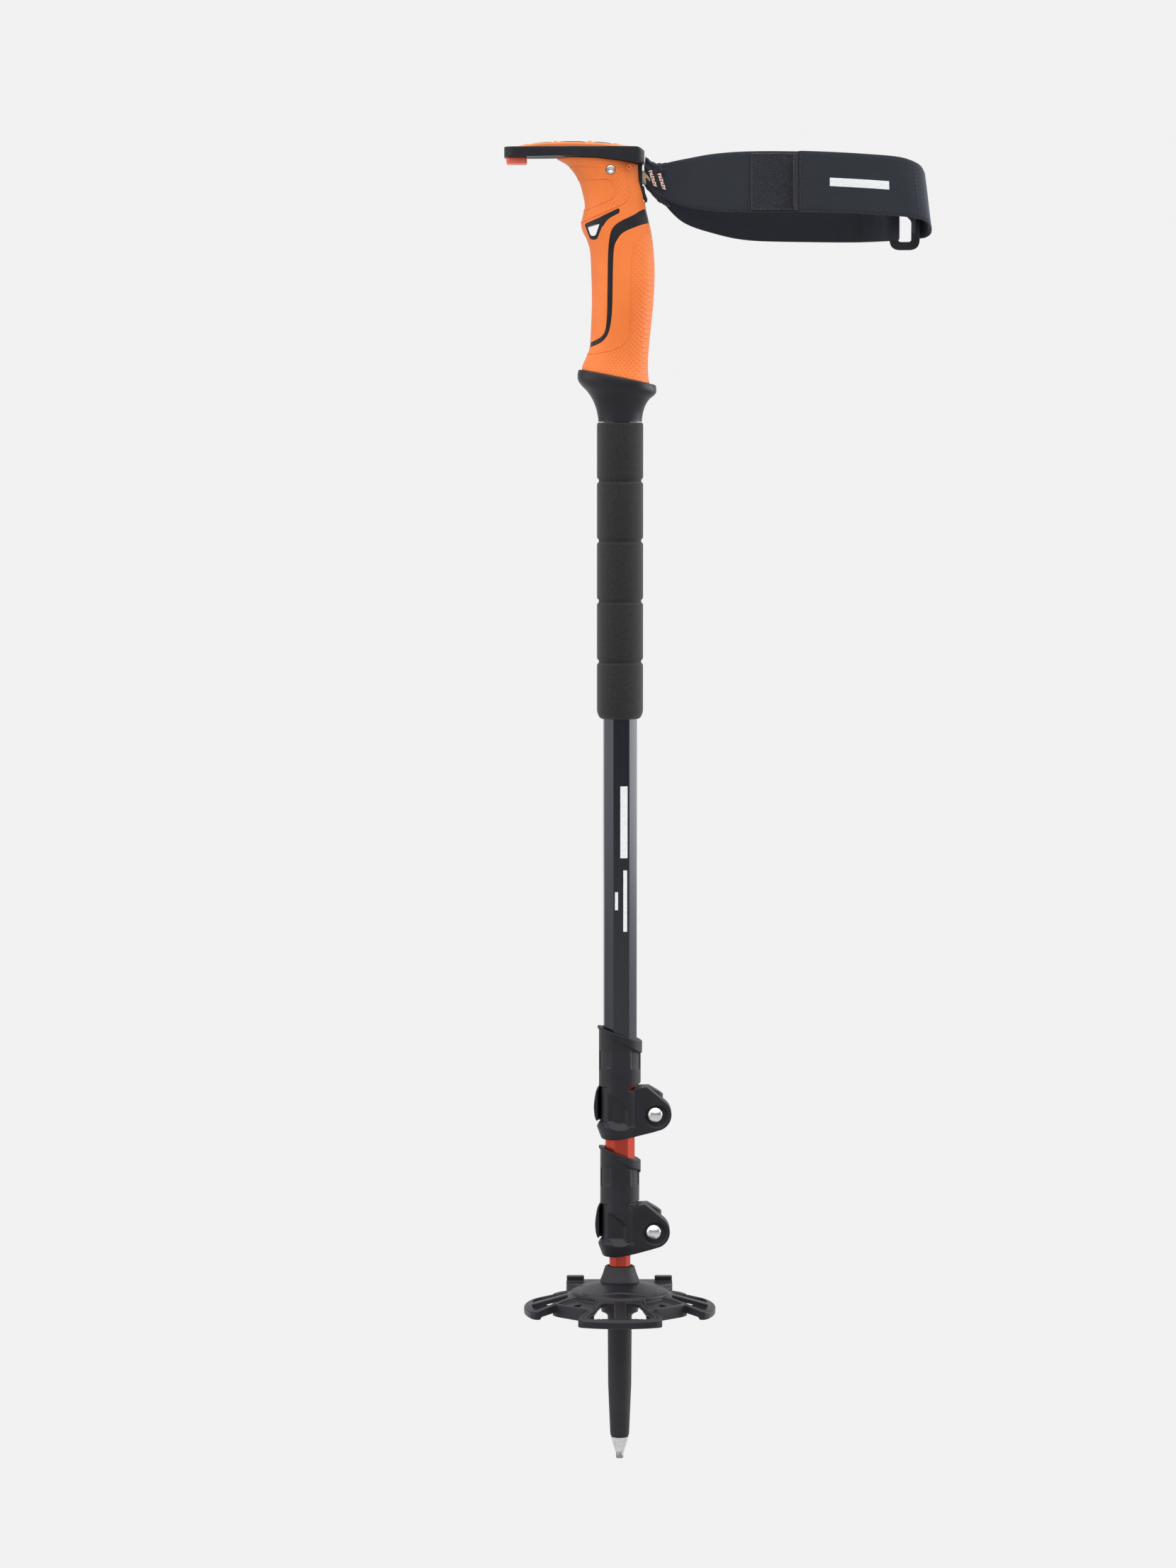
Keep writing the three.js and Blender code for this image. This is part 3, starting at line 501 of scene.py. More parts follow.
def red_rubber():
    s = Shader("red_rubber", 0.5, specular=0.4, sheen=0.2)
    s.colour(s.ramp(s.noise(70, 3), [(0.3, (0.6, 0.09, 0.05)), (0.7, (0.75, 0.13, 0.075))]))
    s.bump((s.noise(3800, 2), 0.2, 0.05))
    return s.material


def foam_black():
    """Closed-cell foam: dull, with fine pores and a few larger ones."""
    s = Shader("black_foam", 0.92, specular=0.2, sheen=0.15)
    s.bsdf.inputs["Sheen Roughness"].default_value = 0.6
    pores = s.add("ShaderNodeTexVoronoi")
    pores.inputs["Scale"].default_value = 2600
    s.link(s.coordinates, pores.inputs["Vector"])
    s.colour(s.ramp(s.noise(900, 4), [(0.3, (0.007, 0.007, 0.0075)), (0.7, (0.016, 0.016, 0.017))]))
    s.bump((pores.outputs["Distance"], 0.4, 0.12), (s.noise(2200, 4), 0.4, 0.08))
    return s.material


def anodised(name, dark, light, roughness, coat=0.0):
    """Drawn and anodised aluminium, with faint lengthwise draw marks."""
    s = Shader(name, roughness, metallic=0.85, specular=0.5, coat=coat)
    s.bsdf.inputs["Coat Roughness"].default_value = 0.12
    marks = s.noise(900, 3, (1, 1, 0.02))
    s.colour(s.ramp(marks, [(0.3, dark), (0.7, light)]))
    s.roughen(s.noise(420, 3, (1, 1, 0.05)), roughness - 0.05, roughness + 0.07)
    s.bump((marks, 0.05, 0.02), (s.noise(2600, 2), 0.03, 0.02))
    return s.material


def steel(name="stainless_steel", tone=0.62, roughness=0.2):
    s = Shader(name, roughness, metallic=1.0)
    s.colour(s.ramp(s.noise(500, 3), [(0.3, (tone * 0.9,) * 3), (0.7, (tone * 1.08,) * 3)]))
    s.roughen(s.noise(1500, 4), roughness - 0.05, roughness + 0.12)
    s.bump((s.noise(3000, 3), 0.08, 0.02))
    return s.material


def webbing(name="black_webbing", base=(0.0125, 0.0145, 0.021), twill=0.0013):
    """Woven twill webbing: slanted ribs crossed by single threads."""
    s = Shader(name, 0.78, specular=0.25, sheen=0.22)
    s.bsdf.inputs["Sheen Roughness"].default_value = 0.5
    s.bsdf.inputs["Sheen Tint"].default_value = (0.6, 0.68, 0.85, 1)
    x, _, z = s.axes()
    slant = s.wave(s.math("ADD", x, s.math("MULTIPLY", z, 0.8)), twill)
    threads = s.wave(s.math("SUBTRACT", z, s.math("MULTIPLY", x, 0.25)), twill * 0.42)
    crossed = s.math("ADD", s.math("MULTIPLY", threads, 0.4), 0.6)
    weave = s.math("MULTIPLY", s.math("POWER", slant, 0.7), crossed)
    light = tuple(c * 1.9 for c in base)
    mixed = s.math("ADD", s.math("MULTIPLY", weave, 0.65), s.math("MULTIPLY", s.noise(1500, 4), 0.35))
    s.colour(s.ramp(mixed, [(0.2, tuple(c * 0.55 for c in base)), (0.85, light)]))
    s.bump((weave, 0.6, 0.14), (s.noise(5000, 3), 0.35, 0.06))
    return s.material


def fuzzy(name="loop_pile", base=(0.011, 0.011, 0.015)):
    s = Shader(name, 0.95, specular=0.12, sheen=0.6)
    s.bsdf.inputs["Sheen Roughness"].default_value = 0.6
    s.bsdf.inputs["Sheen Tint"].default_value = (0.5, 0.5, 0.62, 1)
    curls = s.noise(1300, 6)
    s.colour(s.ramp(curls, [(0.35, tuple(c * 0.4 for c in base)), (0.7, tuple(c * 2.1 for c in base))]))
    s.bump((curls, 0.9, 0.4))
    return s.material


def thread(name, base):
    s = Shader(name, 0.7, specular=0.25, sheen=0.3)
    s.colour(s.ramp(s.noise(2500, 3), [(0.3, tuple(c * 0.75 for c in base)),
        (0.7, tuple(min(c * 1.1, 1) for c in base))]))
    s.bump((s.noise(6000, 2), 0.5, 0.05))
    return s.material


def tan_tape():
    s = Shader("tan_tape", 0.8, specular=0.2, sheen=0.3)
    ribs = s.wave(s.axes()[2], 0.00085)
    s.colour(s.ramp(ribs, [(0.1, (0.25, 0.2, 0.13)), (0.7, (0.56, 0.48, 0.35))]))
    s.bump((ribs, 0.8, 0.2), (s.noise(4500, 3), 0.4, 0.05))
    return s.material


BLACK = black_plastic()
BLACK_FINE = black_plastic("black_nylon_smooth", grain=0.2, roughness=0.36)
MATT_SHAFT = black_plastic("black_nylon_matt", tint=(0.014, 0.014, 0.017), grain=0.4, roughness=0.5)
ORANGE = orange_rubber()
ORANGE_SCALES = orange_rubber("orange_rubber_scales", scales=True)
RED = red_rubber()
FOAM = foam_black()
TUBE_BLACK = anodised("black_anodised", (0.010, 0.012, 0.019), (0.016, 0.019, 0.029), 0.24, coat=0.8)
TUBE_RED = anodised("red_anodised", (0.32, 0.026, 0.013), (0.43, 0.042, 0.02), 0.26, coat=0.3)
STEEL = steel()
CARBIDE = steel("carbide", 0.3, 0.45)
WEBBING = webbing()
PILE = fuzzy()
BLACK_THREAD = thread("black_thread", (0.018, 0.019, 0.022))
PALE_THREAD = thread("pale_thread", (0.75, 0.52, 0.42))
TAPE = tan_tape()
MARK = thread("plain_white_print", (0.72, 0.74, 0.75))

# ------------------------------------------------------------------ camera and light

LONG_SIDE_FIELD = 17.43  # degrees
CAMERA_DISTANCE = 2700
CAMERA_HEIGHT = 547
AIM = (-16.9, 0, 360.7)
FLOOR_RADIUS, FLOOR_THICKNESS = 12000, 20
FLOOR_HEIGHT = -715  # 15 mm below the point when both sections are drawn right out


def aimed(obj, target):
    obj.rotation_euler = (Vector(target) - obj.location).to_track_quat("-Z", "Y").to_euler()


def make_camera():
    data = bpy.data.cameras.new("Camera")
    data.lens = data.sensor_width / 2 / math.tan(math.radians(LONG_SIDE_FIELD / 2))
    camera = bpy.data.objects.new("Camera", data)
    bpy.context.scene.collection.objects.link(camera)
    camera.location = to_frame((AIM[0], -CAMERA_DISTANCE, CAMERA_HEIGHT))
    aimed(camera, to_frame(AIM))
    bpy.context.scene.camera = camera


BACKDROP = (0.885, 0.885, 0.885, 1)
# Soft light by direction: (towards, from share, full share, strength)
LIGHT_LOBES = (
    ((0, -0.35, 1), 0.35, 0.9, 2.6),
    ((0.98, 0.18, 0.06), 0.84, 0.95, 4.2),
    ((-0.97, -0.22, 0.06), 0.8, 0.95, 1.8),
    ((0, 1, 0), 0.1, 0.8, 0.5),
)
BASE_LIGHT = 0.2


def make_studio():
    """A light tent: dim in front, bright overhead and at both sides, in front of a plain pale backdrop."""
    scene = bpy.context.scene
    scene.view_settings.view_transform = "Standard"
    world = bpy.data.worlds.new("Studio")
    scene.world = world
    world.use_nodes = True
    graph = Graph(world.node_tree)
    towards = graph.add("ShaderNodeTexCoord").outputs["Generated"]
    total = BASE_LIGHT
    for direction, start, end, strength in LIGHT_LOBES:
        dot = graph.add("ShaderNodeVectorMath", operation="DOT_PRODUCT")
        dot.inputs[1].default_value = Vector(direction).normalized()
        graph.link(towards, dot.inputs[0])
        total = graph.math("ADD", graph.eased(dot.outputs["Value"], start, end, 0, strength), total)
    tent, backdrop = world.node_tree.nodes["Background"], graph.add("ShaderNodeBackground")
    tent.inputs["Color"].default_value = (1, 1, 1, 1)
    graph.link(total, tent.inputs["Strength"])
    backdrop.inputs["Color"].default_value = BACKDROP
    choose = graph.add("ShaderNodeMixShader")
    graph.link(graph.add("ShaderNodeLightPath").outputs["Is Camera Ray"], choose.inputs["Fac"])
    graph.link(tent.outputs["Background"], choose.inputs[1])
    graph.link(backdrop.outputs["Background"], choose.inputs[2])
    graph.link(choose.outputs["Shader"], world.node_tree.nodes["World Output"].inputs["Surface"])
    floor = ringed("floor", 1, 64, lambda c, s, t: (
        FLOOR_RADIUS * c, FLOOR_RADIUS * s, FLOOR_HEIGHT + mix(-FLOOR_THICKNESS, 0, t)))
    paint = Shader("pale_floor", 1.0, specular=0.0)
    paint.bsdf.inputs["Base Color"].default_value = (0, 0, 0, 1)
    paint.bsdf.inputs["Emission Color"].default_value = BACKDROP
    paint.bsdf.inputs["Emission Strength"].default_value = 1.0
    floor.data.materials.append(paint.material)


make_camera()
make_studio()

# ------------------------------------------------------------------ tubes


def tube_ring(radius):
    corners = []
    for side in range(4):
        for half in (-WIDE_FACET_HALF_ANGLE, WIDE_FACET_HALF_ANGLE):
            angle = math.radians(-90 + TUBE_TURN + side * 90 + half)
            corners.append((radius * math.cos(angle), radius * math.sin(angle)))
    return rounded(corners, radius * 0.085, 3)


def tube_radius(node):
    low, high = node_range(node, 0)
    return (high - low) / FACET_SPREAD


def octagonal_tube(node, wall, material, body):
    """A drawn tube with eight facets, softly rounded corners and a turned-in lip at each end."""
    radius = tube_radius(node)
    low, high = node_range(node, 2)
    inner = [(x * (1 - wall / radius), y * (1 - wall / radius)) for x, y in tube_ring(radius)]
    outer = tube_ring(radius)
    count = len(outer)
    levels = [(outer, low + 0.25), (outer, high - 0.25), (inner, high), (inner, low)]
    points = [(x, y, level) for ring, level in levels for x, y in ring]
    faces = []
    for band in range(4):
        for k in range(count):
            a, b = band * count + k, band * count + (k + 1) % count
            c, d = ((band + 1) % 4) * count + (k + 1) % count, ((band + 1) % 4) * count + k
            faces.append((a, b, c, d))
    tube = mesh_object(node + "_drawn", points, faces)
    return finished(tube, material, body, [node], angle=12)


octagonal_tube("upper_tube", 0.7, TUBE_BLACK, "upper_section")
octagonal_tube("middle_tube", 0.8, TUBE_RED, "middle_section")
octagonal_tube("lower_tube", 0.9, TUBE_RED, "lower_section")


def facet_print(name, angle, bars, material):
    """Plain printed bars on a facet. bars are (across from, across to, low, high)."""
    radius = tube_radius("upper_tube")
    facet = radius * math.cos(math.radians(WIDE_FACET_HALF_ANGLE)) + 0.02
    turn = math.radians(angle)
    out, along = (math.cos(turn), math.sin(turn)), (-math.sin(turn), math.cos(turn))
    points, faces = [], []
    for left, right, low, high in bars:
        start = len(points)
        for depth in (-0.12, 0.03):
            reach = facet + depth
            for across, height in ((left, low), (right, low), (right, high), (left, high)):
                points.append((out[0] * reach + along[0] * across, out[1] * reach + along[1] * across,
                    height))
        quads = [(0, 1, 2, 3), (7, 6, 5, 4), (0, 4, 5, 1), (1, 5, 6, 2), (2, 6, 7, 3), (3, 7, 4, 0)]
        faces += [tuple(start + k for k in quad) for quad in quads]
    prints = mesh_object(name, points, faces)
    return finished(prints, material, "upper_section")


PLAIN_BARS = [(-0.6, 3.2, 322, 360), (1.0, 3.0, 283, 315.5), (-3.4, -1.8, 294.5, 304)]
facet_print("tube_plain_bars", TUBE_TURN - 90, PLAIN_BARS, MARK)

# ------------------------------------------------------------------ grip

FLANGE_SLOPE = 0.2035
FLANGE_TOP_AT_AXIS = 575
RUBBER_TOP = 690

grip_front = through([
    (571, -20.4), (577, -19.8), (582, -17.9), (588, -16.1), (600, -15.3), (614, -14.9), (630, -15.3),
    (640, -15.9), (646, -17.6), (650, -19.6), (653.5, -20.5), (658, -19.7), (664, -18.6),
    (671, -19.8), (678, -22), (684, -25.8), (687, -29.2), (689, -33)])
grip_back = through([
    (565, 18.6), (571, 16.8), (577, 15), (584, 14.5), (592, 14.9), (604, 16.1), (616, 17.3), (630, 18),
    (640, 17.7), (650, 16.6), (658, 15.1), (664, 13.6), (671, 12.4), (678, 10.4), (685, 10)])
grip_half_width = through([
    (571, 15.6), (584, 13.2), (600, 13.6), (630, 14.4), (652, 13.6), (670, 13), (688, 14.2)])


def flange_top(x):
    return FLANGE_TOP_AT_AXIS - FLANGE_SLOPE * x


def grip_loft(name, inset, rows=120, sides=112, lift=0.15, top=RUBBER_TOP):
    def place(c, s, t):
        guess = mix(FLANGE_TOP_AT_AXIS + lift, top, t)
        front, back = grip_front(guess) + inset, grip_back(guess) - inset
        x = (front + back) / 2 + squared(c, 2.3) * (back - front) / 2
        y = squared(s, 2.3) * (grip_half_width(guess) - inset)
        return x, y, mix(flange_top(x) + lift, top, t)

    return ringed(name, rows, sides, place)


def ribbon(line, width):
    """A closed outline of even width along an open line."""
    left, right = [], []
    for i, point in enumerate(line):
        before, after = Vector(line[max(i - 1, 0)]), Vector(line[min(i + 1, len(line) - 1)])
        along = (after - before).normalized()
        across = Vector((-along.y, along.x)) * width / 2
        here = Vector(point)
        left.append(tuple(here + across))
        right.append(tuple(here - across))
    return left + right[::-1]


BAND_UPPER_EDGE = [
    (26, 668), (12.2, 662.7), (6.9, 659.6), (-0.2, 656.1), (-3.75, 653), (-5.35, 649), (-6.3, 640),
    (-6.6, 624),
    (-6.8, 610), (-7.5, 601), (-9.1, 597), (-12.6, 594.6), (-18, 592.3), (-26, 590)]
BAND_LOWER_EDGE = [
    (-26, 588.6), (-18, 590.4), (-11.7, 592.6), (-8.2, 595.2), (-6, 599.2), (-4.8, 605.4), (-4.2, 615),
    (-3.9, 633), (-3.3, 642.8), (-1.5, 647.2), (1.6, 650.7), (8.7, 653.9), (15.4, 656.1), (26, 659.5)]


def band_outline(spread):
    upper = [(x - spread * 0.7, height + spread * 0.7) for x, height in spline(BAND_UPPER_EDGE, 5)]
    lower = [(x + spread * 0.7, height - spread * 0.7) for x, height in spline(BAND_LOWER_EDGE, 5)]
    return upper + lower


def above_band():
    line = spline([
        (26, 664), (9, 658), (1, 653.4), (-4, 648), (-5.2, 630), (-5.8, 606), (-7.5, 597.5), (-12, 593.7),
        (-26, 589.3),
    ], 6)
    return prism("above_band", line + [(-90, 589.3), (-90, 720), (26, 720)], *WHOLE_GRIP)


EYE_SURROUND = rounded(
    [(-18.8, 655.2), (-10.6, 658.6), (-8.6, 656), (-12.2, 646.9), (-15.6, 646.9)], [1.2, 1, 2.5, 2, 2], 5)
EYE_HOLE = rounded([(-17.2, 653.9), (-10.6, 656), (-13, 649), (-15.4, 648.9)], [0.8, 0.5, 1.4, 1.4], 5)
EYE_ARM = rounded(
    [(-13.5, 656.2), (-10.6, 658.7), (-0.6, 663.4), (-0.2, 660.9), (-6.6, 657.6), (-9.8, 652.6)],
    [0.5, 3, 1, 1.4, 4, 2], 5)

UPPER_ZONE = spline([
    (-34, 684.2), (-24.6, 684.5), (-12.6, 685.2), (-2.9, 684.9), (1.6, 683.4), (3.9, 679.8), (4.4, 675),
    (4.0, 669.3),
    (1.2, 666), (-7, 662.2), (-16.2, 658.2), (-34, 650.5)], 6)
INNER_PANEL = spline([
    (-34, 677.6), (-21.5, 678.3), (-8.2, 678.8), (-4.9, 677.8), (-3.1, 674.6), (-3.5, 670.6), (-5.8, 667.8),
    (-18, 662.8), (-34, 656.3)], 6)
LOWER_ZONE_EDGE = spline([
    (30, 656.5), (16.5, 652.4), (11.6, 649.6), (8.2, 644.6), (6.7, 636), (6.2, 618), (5.9, 602), (4.6, 596),
    (-0.2, 591.4), (-7.3, 588.9), (-15.7, 587.7), (-34, 586.9)], 6)


def zone_panel(name, outline, hole, proud=0.12):
    """A thin raised panel of the rubber's skin, within an outline that is seen from the side."""
    skin = grip_loft(name, -proud, top=RUBBER_TOP - 0.4, lift=0.5)
    cut(skin, grip_loft("under", 0.5, rows=60, sides=64, top=RUBBER_TOP + 1, lift=-2))
    common(skin, prism("zone", outline, *WHOLE_GRIP))
    if hole:
        cut(skin, prism("hole", hole, *WHOLE_GRIP))
    return skin


def pin_room():
    """A cutter for the cross pin's hole, through the whole grip."""
    return rod("pin_room", 2.6, -30, 30, 40, (node_mid("strap_pin", 0), node_mid("strap_pin", 2)), "y")


def make_grip():
    rubber = grip_loft("rubber", 0)
    cut(rubber, grip_loft("core_room", 3, rows=40, sides=48, lift=3, top=RUBBER_TOP + 2))
    head_room = [(-90, 689.4), (-45, 689.8), (-28, 690), (-12, 689.3), (0, 687.9), (9, 686.3), (40, 686),
        (40, 730), (-90, 730)]
    cut(rubber, prism("head_room", head_room, *WHOLE_GRIP))
    cut(rubber, prism("band_room", band_outline(0.12), *WHOLE_GRIP))
    cut(rubber, prism("eye_room", EYE_SURROUND, *WHOLE_GRIP), prism("arm_room", EYE_ARM, *WHOLE_GRIP))
    cut(rubber, prism("spine_room", [(7, 667), (40, 667), (40, 700), (7, 700)], -4.9, 4.9))
    cut(rubber, pin_room())
    upper = common(copy_of(rubber, "grip_rubber_front"), above_band())
    lower = cut(rubber, above_band())
    lower.name = "grip_rubber_palm"
    for half, node in ((upper, "grip_rubber_upper"), (lower, "grip_rubber_lower")):
        finished(bevelled(half, 0.18, 2, 50), ORANGE, "upper_section", [node], 40)

    keep_out = [
        prism("keep_out", outline, *WHOLE_GRIP) for outline in (band_outline(0.5), EYE_SURROUND, EYE_ARM)]
    top_zone = zone_panel("grip_scales_thumb", UPPER_ZONE, INNER_PANEL)
    back_zone = zone_panel("grip_scales_palm", LOWER_ZONE_EDGE + [(-34, 560), (30, 560)], None)
    for panel in (top_zone, back_zone):
        for guard in keep_out:
            combine(panel, guard, "DIFFERENCE", keep=True)
        cut(panel, pin_room())
        cut(panel, prism("spine_guard", [(6.8, 666.8), (40, 666.8), (40, 700), (6.8, 700)], -5.1, 5.1))
        finished(panel, ORANGE_SCALES, "upper_section")
    for guard in keep_out:
        bpy.data.objects.remove(guard)
    for name, line in (("thumb_outline", UPPER_ZONE), ("thumb_panel_outline", INNER_PANEL),
            ("palm_outline", LOWER_ZONE_EDGE)):
        ridge = zone_panel("grip_" + name, ribbon(line, 0.75), None, proud=0.26)
        behind = [(14.6, 560), (40, 560), (40, 700), (14.6, 700)]
        cut(ridge, pin_room(), prism("clear_of_back", behind, *WHOLE_GRIP))
        finished(bevelled(ridge, 0.12, 1, 50), ORANGE, "upper_section", angle=60)

    band = common(prism("grip_band", band_outline(0), *WHOLE_GRIP), grip_loft("skin", 0.18))
    finished(bevelled(band, 0.2, 2, 50), BLACK_FINE, "upper_section", angle=40)
    eye = prism("grip_eye_surround", EYE_SURROUND, *WHOLE_GRIP)
    common(eye, grip_loft("skin", 0.12))
    cut(eye, prism("eye_hole", EYE_HOLE, *WHOLE_GRIP))
    finished(bevelled(eye, 0.25, 2, 50), BLACK_FINE, "upper_section", angle=40)
    arm = common(prism("grip_eye_arms", EYE_ARM, *WHOLE_GRIP), grip_loft("skin", 0.14))
    cut(arm, grip_loft("arm_room", 2.6), prism("eye_room", EYE_SURROUND, *WHOLE_GRIP))
    finished(bevelled(arm, 0.2, 2, 50), BLACK_FINE, "upper_section", angle=40)


SPINE_SIDE = [
    (7.2, 688), (11.6, 688.5), (11.5, 683.6), (11.6, 677), (12.0, 671), (12.4, 667.2), (7.2, 667.2)]


def make_neck():
    """The black spine at the back of the neck, its slot for the tape, and the tab under the slot."""
    spine = prism("grip_spine", rounded(SPINE_SIDE, 1.2, 4), -4.7, 4.7)
    cut(spine, prism("slot", rounded([(-10, 676.6), (30, 676), (30, 684), (-10, 684)], 1, 3), -4, 4))
    moulded(spine, 0.3, 4, 0.6)
    finished(spine, BLACK, "upper_section")
    tab = prism("strap_tab", rounded([
        (11.4, 675.2), (12.5, 675.3), (13.1, 671.4), (14.3, 668.4), (14.2, 666.9), (13.1, 666.7),
        (12.4, 668.4), (11.4, 671.6),
    ], 0.7, 4), -4.6, 4.6)
    moulded(tab, 0.22, 3, 0.7)
    finished(tab, BLACK, "upper_section", ["strap_wedge"])


# ------------------------------------------------------------------ head


def head_plan(margin):
    front, back, wide = -60.8 + margin, 12.6 - margin, 16.5 - margin
    corners = [(back, -wide + 3), (back - 11, -wide), (-34, -wide + 0.6), (front, -wide + 3.6),
               (front, wide - 3.6), (-34, wide - 0.6), (back - 11, wide), (back, wide - 3)]
    round_off = max(7 - margin * 0.4, 3)
    return rounded(corners, [9, 9, 12, round_off, round_off, 12, 9, 9], 7)


pad_crown = through([(-57, 695.2), (-54, 696), (-48, 697.4), (-38, 698.6), (-24, 699), (-10, 698.5),
    (0, 697.2), (6, 695.8), (8, 695.2)])


def domed(name, outline, base, top, rings=12):
    """A solid on a flat base whose top follows top(x, y)."""
    centre = Vector((sum(p[0] for p in outline) / len(outline), sum(p[1] for p in outline) / len(outline)))
    points = [(x, y, base) for x, y in outline]
    count = len(outline)
    shares = [1, 0.995, 0.98] + [1 - (k / rings) for k in range(1, rings)]
    for share in shares:
        for x, y in outline:
            px, py = centre.x + (x - centre.x) * share, centre.y + (y - centre.y) * share
            edge = {1: 0.5, 0.995: 0.2, 0.98: 0.03}.get(share, 0)
            points.append((px, py, top(px, py) - edge))
    points.append((centre.x, centre.y, top(centre.x, centre.y)))
    faces = [tuple(range(count - 1, -1, -1))] + swept_faces(len(shares), count)
    last = len(shares) * count
    faces += [(last + k, last + (k + 1) % count, len(points) - 1) for k in range(count)]
    return mesh_object(name, points, faces)


WINDOWS = [(-48.4, -35, 6.5, 9), (-33, -17.2, 9, 9.4), (-14.6, -3.6, 9.4, 8.6), (-1, 3.2, 7.6, 5.4)]


def window_outline(row, shrink):
    left, right, front_half, back_half = row
    a, b = front_half - shrink, back_half - shrink
    return rounded([(left + shrink, -a), (right - shrink, -b), (right - shrink, b), (left + shrink, a)],
        1.6, 5)


def make_head():
    side = rounded([
        (-80, 695.4), (-80, 689.7), (-45, 690.2), (-28, 690.5), (-12, 689.6), (0, 688.2), (9, 686.8),
        (22, 685.8),
        (22, 692), (12.5, 693.2), (9.6, 695.4)], [0, 0, 20, 14, 10, 10, 4, 0, 0, 2, 3], 5)
    plate = common(prism("head_plate", head_plan(0), 670, 710, "z"), prism("side", side, *WHOLE_GRIP))
    hollow = ringed("hollow", 24, 48, lambda c, s, t: (
        -34 + 22 * c * math.sin(math.pi * max(t, 0.01)), 12 * s * math.sin(math.pi * max(t, 0.01)),
        688.9 - 2.6 * math.cos(math.pi * t)))
    cut(plate, hollow)
    cut(plate, prism("pocket", head_plan(4.9), 693.4, 720, "z"))
    moulded(plate, 0.38, 5, 0.5)
    finished(plate, BLACK, "upper_section", ["grip_frame"])

    def top(x, y):
        return pad_crown(x) - 1.9 * (abs(y) / 11.3) ** 2.2

    pad = domed("head_palm_pad", head_plan(5.2), 693.5, top, 16)
    for row in WINDOWS:
        cut(pad, prism("window", window_outline(row, 0), 680, 720, "z"))
    finished(bevelled(pad, 0.3, 2, 45), ORANGE, "upper_section", ["head_pad"], 50)
    for number, row in enumerate(WINDOWS, 1):
        island_top = lambda x, y: top(x, y) - 0.28
        island = domed(f"head_island_{number}", window_outline(row, 0.25), 693, island_top, 8)
        finished(island, BLACK_FINE, "upper_section", angle=60)
    insert_plan = rounded([
        (-59.7, -8), (-58.7, -9.4), (-49.6, -9.9), (-49, -8.8),
        (-49, 8.8), (-49.6, 9.9), (-58.7, 9.4), (-59.7, 8)], 1.4, 4)
    insert = prism("scraper_edge", insert_plan, 686.7, 690, "z")
    finished(bevelled(insert, 0.7, 4, 40), RED, "upper_section", ["scraper_insert"], 50)


def make_pins():
    x, height = node_mid("strap_pin", 0), node_mid("strap_pin", 2)
    for name, side, node in (("strap_pin_head", -1, "strap_pin"), ("strap_pin_cap", 1, "strap_pin_screw")):
        profile = [(0, 13.1), (0.9, 13.5), (1.0, 13.95), (1.3, 14.1), (1.8, 14.1), (2.25, 13.95),
            (2.46, 13.6), (2.46, 8), (0, 8)]
        pin = turned(name, [(r, side * y) for r, y in profile], 40, (x, height), "y")
        finished(pin, STEEL, "upper_section", [node], 40)
    mark_section = ((0.75, -1.6), (0.75, 0.0), (0.95, 0.12), (1.2, 0.0), (1.2, -1.6))
    for side in (-1, 1):
        profile = [(r, side * (13.9 + y)) for r, y in mark_section]
        ring = turned(f"mould_mark_{'near' if side < 0 else 'far'}", profile, 28, (4.5, 684.6), "y")
        finished(ring, ORANGE, "upper_section")


# ------------------------------------------------------------------ flange and foam


def make_flange():
    section = spline([
        (0, 0), (0.02, 0.1), (0.10, 0.26), (0.27, 0.44), (0.52, 0.59), (0.79, 0.69), (0.95, 0.765),
        (1.0, 0.84),
        (0.992, 0.92), (0.95, 0.985), (0.86, 1.0), (0.7, 1.0)], 5)
    low, neck = 551.9, 11.5
    left, right, half_width = -22.4, 19.1, 17.5

    def place(c, s, t):
        grow, rise = section[min(int(round(t * (len(section) - 1))), len(section) - 1)]
        half_x, half_y = mix(neck, (right - left) / 2, grow), mix(neck, half_width, grow)
        x = mix(0, (left + right) / 2, grow) + c * half_x
        return x, s * half_y, mix(low, flange_top(x), rise)

    flange = ringed("grip_collar", len(section) - 1, 96, place)
    finished(flange, BLACK_FINE, "upper_section", ["grip_flange"], 60)


def make_foam():
    low, high = node_range("foam_sleeve", 2)
    outer, inner = 12.2, tube_radius("upper_tube") + 0.05
    profile = [(inner, low + 0.3), (9.9, low), (10.4, low + 0.25), (11.2, low + 1.2), (11.9, low + 2.8),
        (outer, low + 4.6)]
    groove_centres = (425.6, 457.5, 489.3, 520.9)
    groove = ((-2.1, 0), (-1.5, 0.12), (-1, 0.55), (-0.6, 0.92), (0, 1.05),
              (0.6, 0.92), (1, 0.55), (1.5, 0.12), (2.1, 0))
    for centre in groove_centres:
        profile += [(outer - depth, centre + off) for off, depth in groove]
    profile += [(outer, high - 1.5), (outer - 0.2, high - 0.7), (11.6, high - 0.1), (inner, high)]
    foam = turned("foam_grip", profile, 96)
    finished(foam, FOAM, "upper_section", ["foam_sleeve"], 60)


make_grip()
make_neck()
make_head()
make_pins()
make_flange()
make_foam()

# ------------------------------------------------------------------ cam locks

UPPER_LOCK = {"name": "upper_lock", "bolt": (18.7, 185.4), "sleeve": 11.1, "top": (46.7, 39.0),
              "outer": ("upper_tube", 203), "inner": "middle_tube", "body": "upper_section",
              "lever": "upper_lever"}
LOWER_LOCK = {"name": "lower_lock", "bolt": (17.9, 122.7), "sleeve": 10.4, "top": (45.3, 37.9),
              "outer": ("middle_tube", 140.5), "inner": "lower_tube", "body": "middle_section",
              "lever": "lower_lever"}
# where each lock's ears begin and end across the pole, and where its lever turns
EAR_FRONT = -8.3
EAR_BACK = 4.1
CAM_Y = 9.6


